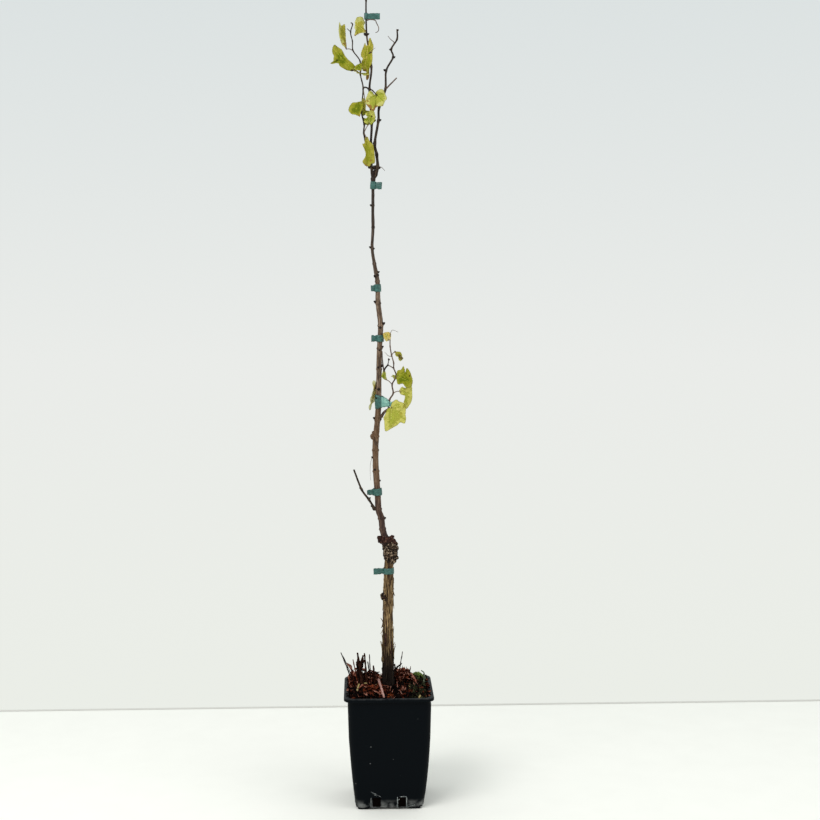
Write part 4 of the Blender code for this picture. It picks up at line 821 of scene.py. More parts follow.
def stained(finish, *stains):
    """Mixes a mottled finish towards other colours, each stain a share and a colour; returns its material."""
    made, tree, shader, source = finish
    for share, code in stains:
        mix = put(tree, "Mix", {0: share, 6: source}, {7: tint(code)}, data_type="RGBA")
        source = (mix, 2)
    tree.links.new(source[0].outputs[source[1]], shader.inputs["Base Color"])
    return made


def weathered_bark():
    """Old vine bark: dry fibrous strips, grey-tan on the ridges and near black in the furrows; darker towards
    the foot and near black at it, painted shade among the litter.
    """
    finish = mottled(
        "weathered vine bark", {0.34: "#1a100a", 0.46: "#4a3822", 0.56: "#775f40", 0.70: "#b89d74"},
        grain=(2, 2, 22), roughness=0.92, specular=0.2, bump=0.8, depth=1.2)
    tree = finish[1]
    return stained(
        finish, (blotches(tree, (5, 5, 60), 0.54, 0.62, 0.7), "#2a150d"),
        # painted shade: darker from 322 mm down and blacker again from 262 mm down, where the trunk stands in
        # the litter
        (by_height(tree, 322, 232, 0.95), "#1c0e07"), (by_height(tree, 262, 226, 0.8), "#0a0301"))


def peeling_bark():
    """Peeling outer strips: the oldest bark, bleached tan, and darkened at the foot by painted shade."""
    finish = mottled(
        "peeling bark strips", {0.36: "#54402a", 0.5: "#836a48", 0.66: "#ad9468"},
        grain=(1.2, 1.2, 9), roughness=0.92, specular=0.2, bump=0.6, depth=0.5)
    tree = finish[1]
    return stained(
        # painted shade: darker from 300 mm down and blacker again from 262 mm down, among the litter
        finish, (by_height(tree, 300, 235, 0.72), "#1c0f08"), (by_height(tree, 262, 226, 0.85), "#080302"))


def ripened_rind():
    """Ripened cane: a thin pinkish-brown rind with fine long fibres and dark weather stains.

    It is redder and darker below 560 mm, and darker again towards the fork.
    """
    finish = mottled(
        "ripened vine cane", {0.36: "#2a1c14", 0.46: "#55412f", 0.56: "#715c49", 0.69: "#ab9687"},
        grain=(1.2, 1.2, 24), roughness=0.7, specular=0.3, bump=0.5, depth=0.4)
    tree = finish[1]
    red_streaks = both(tree, by_height(tree, 560, 490, 1.0), blotches(tree, (2.6, 2.6, 30), 0.44, 0.56, 0.92))
    return stained(
        finish, (by_height(tree, 720, 670, 0.5), "#5c3f24"),
        (blotches(tree, (6, 6, 15), 0.53, 0.64, 0.75), "#2a1b13"),
        (by_height(tree, 580, 490, 0.62), "#44302a"), (red_streaks, "#240e0a"),
        (by_height(tree, 850, 930, 0.62), "#20150d"), (by_height(tree, 930, 1020, 0.8), "#1c120b"))


vine_bark = weathered_bark()
strip_bark = peeling_bark()
ripened_cane = ripened_rind()
# Callus: knobbly corky wood, darker and browner than the strips.
callus_bark = mottled(
    "corky graft callus", {0.41: "#080301", 0.49: "#1e130c", 0.57: "#54412f", 0.66: "#bba78e"},
    grain=(3, 3, 3.6), roughness=0.92, specular=0.2, bump=0.9, depth=1.6)[0]
# The arm that the cane springs from: darker, redder wood under the same rough bark.
arm_bark = mottled(
    "dark red-brown spur bark", {0.38: "#0f0605", 0.48: "#2a1510", 0.58: "#45291f", 0.72: "#7d5f50"},
    grain=(2.4, 2.4, 5), roughness=0.92, specular=0.2, bump=0.9, depth=1.2)[0]
# Thin dark cane: second-year wood, almost black, with sparse tan fibres.
dark_cane = mottled(
    "dark thin vine cane", {0.36: "#100906", 0.5: "#23180f", 0.6: "#3d2e20", 0.75: "#6a5844"},
    grain=(1.2, 1.2, 18), roughness=0.75, specular=0.25, bump=0.5, depth=0.4)[0]
# Winter bud: overlapping dry scales, almost black.
bud_scale = mottled(
    "dry bud scales", {0.36: "#0a0504", 0.5: "#1a0f0a", 0.7: "#352318"},
    grain=(1.2, 1.2, 2), roughness=0.8, specular=0.25, bump=0.3, depth=0.3)[0]
# This year's wood: thin red-brown shoots with dark joints.
shoot_rind = mottled(
    "ripening shoot rind", {0.36: "#22160f", 0.5: "#4a3528", 0.66: "#7b6250"},
    grain=(1.2, 1.2, 14), roughness=0.6, specular=0.35, bump=0.3, depth=0.2)[0]
# Leaf stalk: smooth and mauve-brown, straw-coloured in places.
stalk_rind = mottled(
    "mauve leaf stalk", {0.36: "#3f2a20", 0.5: "#5f4636", 0.66: "#80704a"},
    grain=(3, 3, 9), roughness=0.5, specular=0.4, bump=0.15, depth=0.1)[0]
# Stretch tape: soft blue-green vinyl with a satin gloss and fine stretch wrinkles, and the same one faded; on
# the wide tie the dark one is painted shade round the cane.
tie_tape = mottled(
    "blue-green vinyl tie tape", {0.34: "#153e39", 0.5: "#235049", 0.68: "#407067"},
    grain=(5, 5, 1.6), roughness=0.38, specular=0.5, bump=0.25, depth=0.25)[0]
pale_tape = mottled(
    "faded vinyl tie tape", {0.34: "#437a74", 0.5: "#6f9f93", 0.68: "#98c2b2"},
    grain=(6, 6, 2), roughness=0.42, specular=0.5, bump=0.25, depth=0.25)[0]
# Compost: crumbly peat, 2.5 mm crumbs.
peat = mottled(
    "crumbly peat compost", {0.35: "#020101", 0.5: "#060302", 0.7: "#120a06"},
    grain=(2.5, 2.5, 2.5), roughness=0.95, specular=0.03, bump=0.9, depth=1.5)[0]
# Moss: short velvety shoots, yellow-green at the tips.
moss_green = mottled(
    "cushion moss", {0.36: "#44571f", 0.5: "#728640", 0.66: "#a8ba70"},
    grain=(2, 2, 2), roughness=0.85, specular=0.2, bump=0.4, depth=0.3)[0]
# Pale strokes on the pot's plastic: a painted reflection off the drain windows' cut edges, and grey scuffs
# elsewhere.
glint_and_scuff_plastic = mottled(
    "grey polypropylene edge glints and scuffs", {0.36: "#2d3133", 0.5: "#6c7171", 0.66: "#b4b8b5"},
    grain=(2, 2, 3), roughness=0.6, specular=0.2, bump=0.3, depth=0.2)[0]


def black_plastic():
    """Injection-moulded black polypropylene: dull satin, with a fine orange-peel, and pale dust and specks.

    The dust lies in smears just above the foot; the pale blotches along the rim's rounded top are a painted
    highlight.
    """
    made, tree, shader = blank("black injection-moulded polypropylene", 0.5, 0.05)
    smears = both(tree, by_height(tree, 19, 6, 1.0), blotches(tree, (13, 13, 9), 0.40, 0.70, 0.56))
    marks = both(tree, smears, by_height(tree, 2.6, 4.6, 1.0))
    cells = put(tree, "TexVoronoi", {"Vector": stretched(tree, (17, 17, 17))}, {"Scale": 1.0})
    specks = put(tree, "MapRange", {"Value": (cells, "Distance")},
                 {"From Min": 0.035, "From Max": 0.05, "To Min": 0.55, "To Max": 0.0})
    # painted highlight: pale blotches on the rim's rounded top stand in for the light along its edge
    rim = both(tree, by_height(tree, 195.4, 196.8, 1.0), blotches(tree, (9, 9, 9), 0.3, 0.66, 0.08))
    for share in ((specks, "Result"), rim):
        marks = put(tree, "Math", {0: marks, 1: share}, operation="MAXIMUM"), "Value"
    colour, socket = fill(put(tree, "ValToRGB", {"Fac": marks}), {0.0: "#03070b", 1.0: "#a6a7a5"})
    peel = put(tree, "TexNoise", {"Vector": stretched(tree, (0.8, 0.8, 0.8))}, {"Scale": 1.0, "Detail": 2.0})
    relief = put(tree, "Bump", {"Height": (peel, "Fac")}, {"Strength": 0.08, "Distance": 0.15 * MM})
    tree.links.new(colour.outputs[socket], shader.inputs["Base Color"])
    tree.links.new(relief.outputs["Normal"], shader.inputs["Normal"])
    return made


pot_plastic = black_plastic()

# Autumn vine leaves: matt waxy blades; each tint is a plain base colour with a faint 2.2 mm cell texture.
LEAF_TINTS = {
    "fresh green": "#979b38", "light green": "#b3b158", "leaf green": "#80821d", "olive green": "#8f8c2e",
    "deep green": "#5f6a0c", "olive yellow": "#9b9439", "straw yellow": "#b8a455", "bleached": "#c3c192",
    "dry olive": "#6c6434", "withered brown": "#8d6a30", "pale vein": "#b3b064", "dead spot": "#3b2a12",
    "bright yellow-green": "#98983a", "shaded green": "#747e1c", "edge yellow": "#b5b058",
}
DEAD_SPOT = list(LEAF_TINTS).index("dead spot")
# families of tints, by their numbers in that order: light, main, dark, scorched and vein
LEAF_FAMILIES = {
    "fresh": (1, 0, 13, 9, 10), "bright": (14, 12, 0, 5, 1), "leaf": (3, 2, 4, 9, 0), "deep": (3, 2, 4, 9, 2),
    # the fan leaf's family here takes shaded green as its vein tint: painted shade in the pleats along its
    # veins
    "gold": (5, 3, 2, 9, 3), "veined": (10, 12, 0, 9, 13), "leafy": (5, 3, 2, 9, 6),
    "olive": (10, 5, 3, 9, 6), "straw": (6, 6, 5, 9, 7), "bleached": (7, 7, 6, 9, 7),
    "dry": (3, 8, 11, 11, 6),
}


def shaded(code, factor):
    """A hex colour multiplied by a factor."""
    return "#" + "".join(f"{min(255, round(int(code[i:i + 2], 16) * factor)):02x}" for i in (1, 3, 5))


leaf_finishes = [
    mottled("vine leaf " + name, {0.35: shaded(code, 0.93), 0.5: code, 0.68: shaded(code, 1.05)},
            grain=(2.2, 2.2, 2.2), roughness=0.72, specular=0.08, bump=0.25, depth=0.15, detail=3.0)[0]
    for name, code in LEAF_TINTS.items()
]

# Litter: dead leaves and weed stems rotted to red-brown and near black, with a few pale straws.
LITTER_TINTS = {
    "black mould": ("#030101", "#0a0403", "#170906"), "red-brown leaf": ("#220903", "#481b0d", "#7a3d27"),
    "pinkish leaf": ("#482015", "#86503f", "#c89f8f"), "pale straw": ("#7a6440", "#a8935f", "#d0c08e"),
    "rust curl": ("#4a1b0d", "#7f3a17", "#b4652d"), "grey-green blade": ("#343a2f", "#575e4c", "#8d937e"),
    "peeled twig": ("#7a4f43", "#aa8076", "#cdb0a5"), "dark weed stem": ("#0d0503", "#27130c", "#4b2a1e"),
    "dark green blade": ("#0a0b04", "#262615", "#5a5a40"),
    "dark rust leaf": ("#34100a", "#602512", "#925030"),
}
litter_finishes = [
    mottled("rotting " + name, dict(zip((0.32, 0.5, 0.7), codes)),
            grain=(2, 2, 3.5), roughness=0.9, specular=0.06, bump=0.4, depth=0.4)[0]
    for name, codes in LITTER_TINTS.items()
]
# families of litter tints for a curled dead leaf: light, main, dark, scorched and vein
DEAD_LEAF_FAMILIES = (
    (1, 0, 0, 0, 0), (2, 1, 0, 0, 1), (2, 2, 1, 1, 2), (3, 3, 2, 2, 3), (4, 4, 1, 1, 4), (5, 5, 0, 5, 5),
    (9, 9, 1, 9, 9), (7, 0, 0, 0, 0),
)


# ================================================================================= bark

def furrows(depth, grain, seed):
    """Bark relief: depth·((1-|n|)² - 0.55 + 0.3·fine), ridged where a stretched noise n crosses zero."""
    def relief(points):
        ridge = 1.0 - np.abs(lattice_noise(points, grain, seed))
        fine = lattice_noise(points, np.array(grain) * 0.4, seed + 1)
        return depth * (ridge * ridge - 0.55) + 0.3 * depth * fine
    return relief


def lump(growth, centre, size, stretch, seed, finish=0, rough=0.18):
    """A knobbly lump: a globe of rings, stretched upwards, its radius roughened by noise."""
    rise = np.linspace(-0.97, 0.97, LUMP_RINGS) * math.pi / 2
    directions = globe(rise[:, None], circle(LUMP_SECTORS))
    swell = 1.0 + rough * lattice_noise(directions * size + np.array(centre), size * 0.6, seed)
    rings = np.array(centre) + directions * size * swell[..., None] * np.array((1.0, 1.0, stretch))
    growth.add(*skin(rings), finish)


def bud(growth, course, height, azimuth, length):
    """A pointed winter bud: radius 0.46·length·sin(pi·u^0.7)^0.8 along its axis, which leans up and out.

    Its overlapping scales swell that radius by 0.16·sin(17·u).
    """
    centre, radius = course_at(course, height)
    outward = heading(azimuth, BUD_LEAN)
    outward /= np.linalg.norm(outward)
    u = np.linspace(0.04, 0.97, BUD_RINGS)
    widths = 0.46 * length * np.sin(math.pi * u ** 0.7) ** 0.8
    shape = turned_shape(widths, u * 1.05 * length, BUD_SECTORS)
    shape[..., :2] *= 1.0 + 0.16 * np.sin(u * 17.0)[:, None, None]
    seat = centre + outward * (radius - 0.3 * length)
    growth.add(*skin(shape @ turned_up(outward).T + seat), 1)


def trunk_course():
    """The trunk's axis, which leans by share² of its shift and sways by 0.6·sin²(pi·share), and its radii."""
    shares = np.linspace(0.0, 1.0, TRUNK_STATIONS)
    sway = 0.6 * np.sin(shares * math.pi) ** 2
    points = np.column_stack((shares ** 2 * TRUNK_SHIFT - sway, -shares ** 2,
                              COMPOST_LEVEL + shares * (TRUNK_TOP - COMPOST_LEVEL)))
    return points, np.interp(shares, *np.array(TRUNK_RADII).T)


def bark_strips(growth, course):
    """Peeling strips: long thin plates that follow the bark and lift away towards one or both ends.

    Lift = foot_lift·(1-v)^3 + tip_lift·v^3 over the strip's length, and its width runs as sin(pi·v)^0.35.
    """
    dice = np.random.default_rng(STRIP_SEED)
    v = np.linspace(0.0, 1.0, STRIP_STATIONS)
    level = np.zeros_like(v)
    for _ in range(STRIPS):
        length = dice.uniform(*STRIP_LENGTHS)
        low = dice.uniform(COMPOST_LEVEL + 6.0, TRUNK_TOP - 8.0 - length)
        turn = dice.uniform(0.0, TAU) + 0.12 * dice.standard_normal() * v
        width = dice.uniform(*STRIP_WIDTHS) * np.sin(math.pi * np.clip(v, 0.03, 0.97)) ** 0.35
        foot_lift, tip_lift = dice.uniform(0.0, 1.0, 2) ** 3 * STRIP_LIFT
        lift = foot_lift * (1.0 - v) ** 3 + tip_lift * v ** 3 + 0.5
        centre, radius = zip(*(course_at(course, low + length * share) for share in v))
        outward = np.column_stack((np.cos(turn), np.sin(turn), level))
        across = np.column_stack((-np.sin(turn), np.cos(turn), level))
        middle = np.array(centre) + outward * (np.array(radius) + lift)[:, None]
        rings = np.stack([middle + across * (side * width)[:, None] + outward * out
                          for side, out in STRIP_PROFILE], axis=1)
        growth.add(*skin(rings), int(dice.random() < 0.5))


def build_trunk():
    """The trunk from the compost up into the graft head, with its knobs and peeling strips."""
    course = trunk_course()
    top = np.array(TRUNK_IN_GRAFT)
    points = np.vstack((course[0], course[0][-1] + top[:, :3]))
    growth = Growth()
    growth.add(*limb(points, np.concatenate((course[1], top[:, 3])), TRUNK_SECTORS, furrows(*TRUNK_FURROWS)))
    for number, (centre, size, stretch, finish) in enumerate(TRUNK_KNOBS):
        lump(growth, centre, size, stretch, KNOB_SEED + number, finish, 0.3)
    bark_strips(growth, course)
    make_piece("trunk_bark", growth, [vine_bark, strip_bark, arm_bark, callus_bark], ("trunk",))
    return course


def soft_hull(balls, directions):
    """How far each unit direction d runs from the middle: a soft maximum over the far sides of some balls.

    The far side of a ball (c, r) is at d·c + sqrt((d·c)² - |c|² + r²). The soft maximum of the far sides x is
    k·log(sum exp(x / k)).
    """
    reach = directions @ balls[:, :3].T
    inside = reach ** 2 - (balls[:, :3] ** 2).sum(axis=1) + balls[:, 3] ** 2
    far = np.where(inside > 0.0, reach + np.sqrt(np.maximum(inside, 0.0)), 0.0)
    peak = far.max(axis=-1, keepdims=True)
    return peak[..., 0] + HULL_SOFTNESS * np.log(np.exp((far - peak) / HULL_SOFTNESS).sum(axis=-1))


def graft_balls():
    """Balls (x, y, z, radius) of the graft head: a spiral of large ones, then stubs, core and warts."""
    dice = np.random.default_rng(GRAFT_SEED)
    number = np.arange(GRAFT_LUMPS)
    rise = 0.55 - 1.6 * number / GRAFT_LUMPS
    turn = number * math.radians(GOLDEN_ANGLE)
    flat = np.sqrt(1.0 - rise * rise)
    sizes = dice.uniform(*GRAFT_LUMP_SIZES, GRAFT_LUMPS)
    outward = np.column_stack((np.cos(turn) * flat, np.sin(turn) * flat, rise))
    large = np.column_stack((outward * (GRAFT_RADIUS - 0.55 * sizes)[:, None], sizes))
    outward = unit(dice.standard_normal((GRAFT_WARTS, 3)))
    small = np.column_stack((outward * (GRAFT_RADIUS - 0.6), dice.uniform(*GRAFT_WART_SIZES, GRAFT_WARTS)))
    return np.vstack((large, GRAFT_STUBS, (0.0, 0.0, 0.0, GRAFT_RADIUS - 1.5), small))


def build_graft():
    """The graft head: a lumpy hull roughened like cork, the arm that carries the cane, and the neck below."""
    centre = np.array(GRAFT_CENTRE)
    tilt = np.linspace(-0.497, 0.497, GRAFT_STATIONS) * math.pi
    outward = globe(tilt[:, None], circle(GRAFT_SECTORS))
    rings = centre + outward * (soft_hull(graft_balls(), outward) - 1.0)[..., None]
    cork = lattice_noise(rings, (2.6, 2.6, 3.2), 9) + 0.6 * lattice_noise(rings, (1.3, 1.3, 1.6), 10)
    growth = Growth()
    growth.add(*skin(rings + outward * 0.8 * cork[..., None]))
    growth.add(*limb(*smooth_route(GRAFT_ARM + centre, GRAFT_ARM_RADII, 44), 40, furrows(*ARM_FURROWS)), 1)
    neck_nodes = GRAFT_NECK + centre
    neck = smooth_route(neck_nodes, (1.0, 1.0), 44)[0]
    widths = np.interp(-neck[:, 2], -neck_nodes[:, 2], GRAFT_NECK_RADII)
    growth.add(*limb(neck, widths, 60, furrows(*NECK_FURROWS)), 0)
    for lumps, seed, finish in ((NECK_LUMPS, 160, 0), (ARM_LUMPS, 60, 1)):
        for number, (*offset, size) in enumerate(lumps):
            lump(growth, centre + offset, size, 1.1, seed + number, finish, 0.35)
    make_piece("graft_callus", growth, [callus_bark, arm_bark], ("graft_head",))


def build_main_cane():
    """The main cane from inside the graft's arm to the fork, with its buds and old pruning knobs."""
    nodes = walk(MAIN_FOOT, MAIN_STEPS)
    points, swell = stem_course(nodes, (1.0, 1.0), 0.22)
    course = points, swell * np.interp(points[:, 2], *np.array(MAIN_RADII).T)
    points = np.vstack((nodes[0] - (0.0, 0.0, 10.0), nodes[0] - (0.0, 0.0, 5.0), points))
    growth = Growth()
    growth.add(*limb(points, np.concatenate((MAIN_ROOT_RADII, course[1])), 40, furrows(*MAIN_FURROWS)))
    for row in MAIN_BUDS:
        bud(growth, course, *row)
    for number, (height, azimuth, size) in enumerate(MAIN_KNOBS):
        centre, radius = course_at(course, height)
        lump(growth, centre + heading(azimuth) * (radius + 0.5), size * 0.62, 1.3, 40 + number, 0, 0.3)
    make_piece("main_cane_bark", growth, [ripened_cane, bud_scale], ("main_cane",))
    return course


def stem_piece(name, nodes, root, radii, stands_for, finish, buds=(), twigs=(), knobs=(), swell=0.3):
    """A cane from inside what carries it to its tip, with its buds, side twigs and knobs."""
    course = stem_course(nodes, radii, swell)
    start = np.array(root, dtype=float)
    inside = start + (course[0][0] - start) * np.array((0.0, 0.35, 0.7))[:, None]
    widths = np.concatenate((np.full(3, course[1][0] * 1.08), course[1]))
    growth = Growth()
    growth.add(*limb(np.vstack((inside, course[0])), widths, 18, furrows(*CANE_FURROWS)))
    for row in buds:
        bud(growth, course, *row)
    for route, sizes, kind in twigs:
        growth.add(*limb(*smooth_route(route, sizes, 28), 12, furrows(*TWIG_FURROWS)), kind)
    for number, (*place, size) in enumerate(knobs):
        lump(growth, place, size, 1.2, 80 + number, 1, 0.3)
    make_piece(name, growth, [finish, bud_scale, shoot_rind], (stands_for,))
    return course


# ================================================================================= leaves

def plain_outline(length, width, dice):
    """Edge of a plain blade, its length along x: an oval times five shallow lobes and a stalk notch."""
    angles = np.linspace(-math.pi, math.pi, 160, endpoint=False)
    turn = np.abs(angles)
    envelope = 1.0 - 0.36 * np.minimum(turn / math.radians(125.0), 1.0) ** 1.2
    lobes = 0.5 + 0.5 * np.cos(turn * 360.0 / 56.0)
    notch = np.clip((math.pi - turn) / math.radians(32.0), 0.0, 1.0)
    ragged = sum(np.sin(k * angles + p) for k, p in zip((3, 5, 8), dice.uniform(0.0, TAU, 3))) / 3.0
    edge = length * envelope * (0.82 + 0.18 * lobes) * (0.30 + 0.70 * notch) * (1.0 + 0.05 * ragged)
    return np.column_stack((edge * np.cos(angles), edge * np.sin(angles) * width * LEAF_REACH))


def closed_curve(points, count):
    """Catmull-Rom curve through a closed outline, resampled at even steps and turned counter-clockwise."""
    nodes = np.array(points, dtype=float)
    x, y = nodes.T
    if (x * np.roll(y, -1) - y * np.roll(x, -1)).sum() < 0.0:
        nodes = nodes[::-1]
    place = np.arange(len(nodes) * 12) / 12.0
    i = place.astype(int)
    dense = spline(*(nodes[(i + k) % len(nodes)] for k in (-1, 0, 1, 2)), (place - i)[:, None])
    dense = np.vstack((dense, dense[:1]))
    run = run_along(dense)
    at = np.linspace(0.0, run[-1], count, endpoint=False)
    return np.column_stack([np.interp(at, run, axis) for axis in dense.T]), run[-1]


def toothed(edge, length, dice):
    """Cuts teeth into an outline: pushed along its outward normal by a saw wave of the tooth's spacing."""
    ahead = np.roll(edge, -1, axis=0) - np.roll(edge, 1, axis=0)
    normal = unit(np.column_stack((ahead[:, 1], -ahead[:, 0])))
    teeth = max(5, round(length / TOOTH_SPACING))
    place = np.arange(len(edge)) / len(edge) * teeth
    saw = np.abs(place % 1.0 - 0.35) * 2.0 - 0.5
    strength = dice.uniform(0.4, 1.3, teeth)[place.astype(int) % teeth]
    return edge + normal * (saw * strength * TOOTH_DEPTH)[:, None]


class Veins:
    """The main veins of a flat blade: straight lines that fan out from its heart."""

    def __init__(self, heart, midrib, length):
        self.heart, self.length = np.array(heart), length
        self.midrib = np.array(midrib, dtype=float) / np.linalg.norm(midrib)
        self.across = np.array((-self.midrib[1], self.midrib[0]))

    def place(self, points):
        """Distances along the midrib and across it, over the blade's length."""
        off = (points - self.heart) / self.length
        return off @ self.midrib, off @ self.across

    def distance(self, points):
        """Distance in mm to the nearest vein."""
        x, y = self.place(points)
        far = []
        for angle in VEIN_ANGLES:
            c, s = math.cos(angle), math.sin(angle)
            far.append(np.where(x * c + y * s > 0.0, np.abs(y * c - x * s), np.hypot(x, y)))
        return np.min(far, axis=0) * self.length


def at_depth(flat, depth):
    """Flat points with a third coordinate, so that each leaf takes its own layer of a noise."""
    return np.concatenate((flat, np.full((*flat.shape[:-1], 1), depth)), axis=-1)


def blade_height(flat, share, veins, fold, curl, dice, seed):
    """Height over the leaf's plane, with x along the midrib and y across it, both over the leaf's length.

    It is fold·|y| - (0.16 + curl)·x² - (0.1 + curl)·y², with puckers, a furrow along each vein and a ripple
    that grows to the edge.
    """
    x, y = veins.place(flat)
    turn = circle(flat.shape[1])
    ripple = sum(np.sin(k * turn + p) for k, p in zip((4, 6, 9), dice.uniform(0.0, TAU, 3))) / 3.0
    bent = (0.16 + curl) * x * x
    height = fold * np.abs(y) - bent - (0.10 + curl) * y * y + 0.10 * share[:, None] ** 2 * ripple
    height = height * veins.length - 0.9 * np.exp(-(veins.distance(flat) / 1.3) ** 2)
    return height + 0.65 * lattice_noise(at_depth(flat, seed * 7.3), 4.5, seed)


def blade_tints(centre, ring, side, veins, tints, scorched, spots, seed):
    """The tint of each face: clouds that lighten to the edge and off the veins, the darker faces beside the
    veins being painted shade in the blade's furrows along them; then scorch, veins and spots.

    ring is how far out a face lies, and side how far to the scorched side, both from 0 to 1.
    """
    light, main, dark, burnt, vein = tints
    at = at_depth(centre, seed * 3.7)
    ring = ring[:, None]
    off_vein = veins.distance(centre)
    cloud = 0.6 * lattice_noise(at, 8.0, seed + 5) + 0.3 * lattice_noise(at, 2.0, seed + 6)
    # painted shade: faces near a vein lean to the dark tint, in the furrow the blade has along it
    cloud = cloud + 1.3 * (ring - 0.68) + 0.35 * np.clip(off_vein / 4.0 - 0.4, -0.4, 0.6)
    dealt = np.where(cloud > 0.20, light, np.where(cloud < -0.20, dark, main))
    burn = side + 0.55 * lattice_noise(at, 3.6, seed + 8) + 0.45 * (ring - 0.7)
    dealt = np.where(burn > 1.15 - 1.35 * scorched, burnt, dealt)
    vein_width = 0.5 - 0.35 * np.hypot(*veins.place(centre))
    dealt = np.where((off_vein < vein_width) & (ring < 0.88), vein, dealt)
    for right, up, radius in spots:
        near = np.linalg.norm(centre - np.array((right, up)), axis=-1)
        near = near + 0.5 * lattice_noise(at, 1.6, seed + 9)
        dealt = np.where(near < radius, DEAD_SPOT if radius < LARGE_SPOT else burnt, dealt)
    return dealt


def blade(growth, base, axes, edge, veins, tints, fold, scorch, spots, seed,
          thickness=LEAF_THICKNESS, curl=0.0, columns=LEAF_COLUMNS, rings=LEAF_RINGS):
    """A leaf's blade: rings that shrink from its edge to its middle, on two faces that share the edge.

    scorch is the direction of the scorched side in the leaf's plane, and how much of the leaf is scorched.
    """
    dice = np.random.default_rng(seed)
    edge = toothed(*closed_curve(edge, columns), dice)
    middle = edge.mean(axis=0)
    share = np.linspace(0.0, 1.0, rings + 1)[1:] ** 0.85
    flat = middle + share[:, None, None] * (edge - middle)
    height = blade_height(flat, share, veins, fold, curl, dice, seed)
    half = thickness / 2 * np.sqrt(np.maximum(1.0 - share ** 6, 0.0))[:, None]
    lower = np.concatenate((flat, (height - half)[..., None]), axis=-1)[:-1]
    upper = np.concatenate((flat, (height + half)[..., None]), axis=-1)[::-1]
    points, faces = skin(np.concatenate((lower, upper)))
    place = np.concatenate((flat[:-1], flat[::-1]))
    centre = (place[:-1] + place[1:]) / 2
    centre = (centre + np.roll(centre, -1, axis=1)) / 2
    ring = np.concatenate((share[:-1], share[::-1]))
    ring = (ring[:-1] + ring[1:]) / 2
    side = ((centre - middle) @ np.array(scorch[:2])) / np.abs(edge - middle).max()
    dealt = blade_tints(centre, ring, side, veins, tints, scorch[2], spots, seed)
    growth.add(points @ np.array(axes) + np.array(base), faces, [dealt.ravel(), tints[1], tints[1]])


def step_axes(step, facing):
    """Local axes of a blade: along its step, across it, and up out of its upper face."""
    along = Vector(step).normalized()
    across = Vector(facing).cross(along).normalized()
    return np.array((along, across, along.cross(across)))


def leaf(leaves, stalks, start, petiole, step, facing, family, shape, scorched, amount, seed):
    """A petiole that springs from a node in a shallow arch and runs on as the midrib of its blade.

    A named outline is drawn on the plane through the leaf's foot that is square to its facing.
    """
    start = np.array(start)
    base = start + np.array(petiole)
    length = float(np.linalg.norm(step))
    if isinstance(shape, str):
        x, y, z = facing
        axes = np.array(((1.0, -x / y, 0.0), (0.0, -z / y, 1.0), (0.0, -1.0, 0.0)))
        edge, heart, midrib = LEAF_OUTLINES[shape], LEAF_HEARTS[shape], (step[0], step[2])
        fold, spots = 0.22, LEAF_SPOTS.get(shape, ())
    else:
        axes = step_axes(step, facing)
        edge = plain_outline(length, shape, np.random.default_rng(PLAIN_LEAF_SEED + seed))
        heart, midrib = (0.0, 0.0), (1.0, 0.0)
        fold, spots = 0.30, ()
    foot = base + np.array((*heart, 0.0)) @ axes
    arch = (start + foot) * 0.5 + np.array((0.0, 0.0, 0.8 + 0.05 * np.linalg.norm(foot - start)))
    inside = foot + np.array(step) * 0.05
    stalks.add(*limb(*smooth_route((start, arch, foot, inside), PETIOLE_RADII, 16), 8))
    blade(leaves, base, axes, edge, Veins(heart, midrib, length), LEAF_FAMILIES[family], fold,
          (*scorched, amount), spots, seed)


def build_leaves(stems, hanging_foot):
    """All leaves in one piece, and all leaf stalks and tendrils in another."""
    leaves, stalks = Growth(), Growth()
    seed = LEAF_SEED
    for name, table in (("left", LEFT_LEAVES), ("leader", LEADER_LEAVES), ("lower", LOWER_LEAVES)):
        for number, *rest in table:
            seed += 1
            leaf(leaves, stalks, stems[name][number], *rest, seed)
    leaf(leaves, stalks, hanging_foot, *HANGING_LEAF, seed + 1)
    for points, radius in TENDRILS:
        stalks.add(*limb(*smooth_route(points, (radius, radius * 0.55), 12 * len(points)), 7), 1)
    carried = ("left_shoot", "lower_shoot", "hanging_leaf", "leader_cane")
    make_piece("vine_leaves", leaves, leaf_finishes, carried)
    make_piece("leaf_stalks_and_tendrils", stalks, [stalk_rind, shoot_rind], carried)


# ================================================================================= ties

def tape(growth, path, heights, centre, azimuth, tilt, finish, folds=0.0, drop=0.0):
    """A band of tape carried along a flat path: a thin upright section swept on it, its edges slightly wavy.

    Each section has its outer face from foot to top and its inner face back down, half a thickness apart.
    """
    run = run_along(path)
    along = unit(np.gradient(path, axis=0))
    outward = np.column_stack((along[:, 1], -along[:, 0]))
    levels = np.linspace(-0.5, 0.5, 7)
    wave = 0.35 * np.sin(run * 1.1)[:, None] * levels ** 2 * 4.0
    bulge = 0.25 * (1.0 - (2.0 * levels) ** 2) + folds * np.sin(levels * 26.0)
    z = heights[:, None] * levels + wave - np.broadcast_to(drop, len(path))[:, None]
    rows = []
    for side in (0.5, -0.5):
        push = bulge[None, :] + side * TAPE_THICKNESS + wave * 0.5
        x, y = (path[:, None, axis] + outward[:, None, axis] * push for axis in (0, 1))
        rows.append(np.stack((x, y, z), axis=-1))
    rings = np.concatenate((rows[0][:, ::-1], rows[1]), axis=1)
    turn = Matrix.Rotation(math.radians(azimuth), 3, "Z") @ Matrix.Rotation(math.radians(tilt), 3, "Y")
    points, faces = skin(rings @ np.array(turn).T + np.array(centre))
    dealt = np.repeat(np.broadcast_to(finish, len(path))[:-1], rings.shape[1])
    growth.add(points, faces, [dealt, int(dealt[0]), int(dealt[-1])])


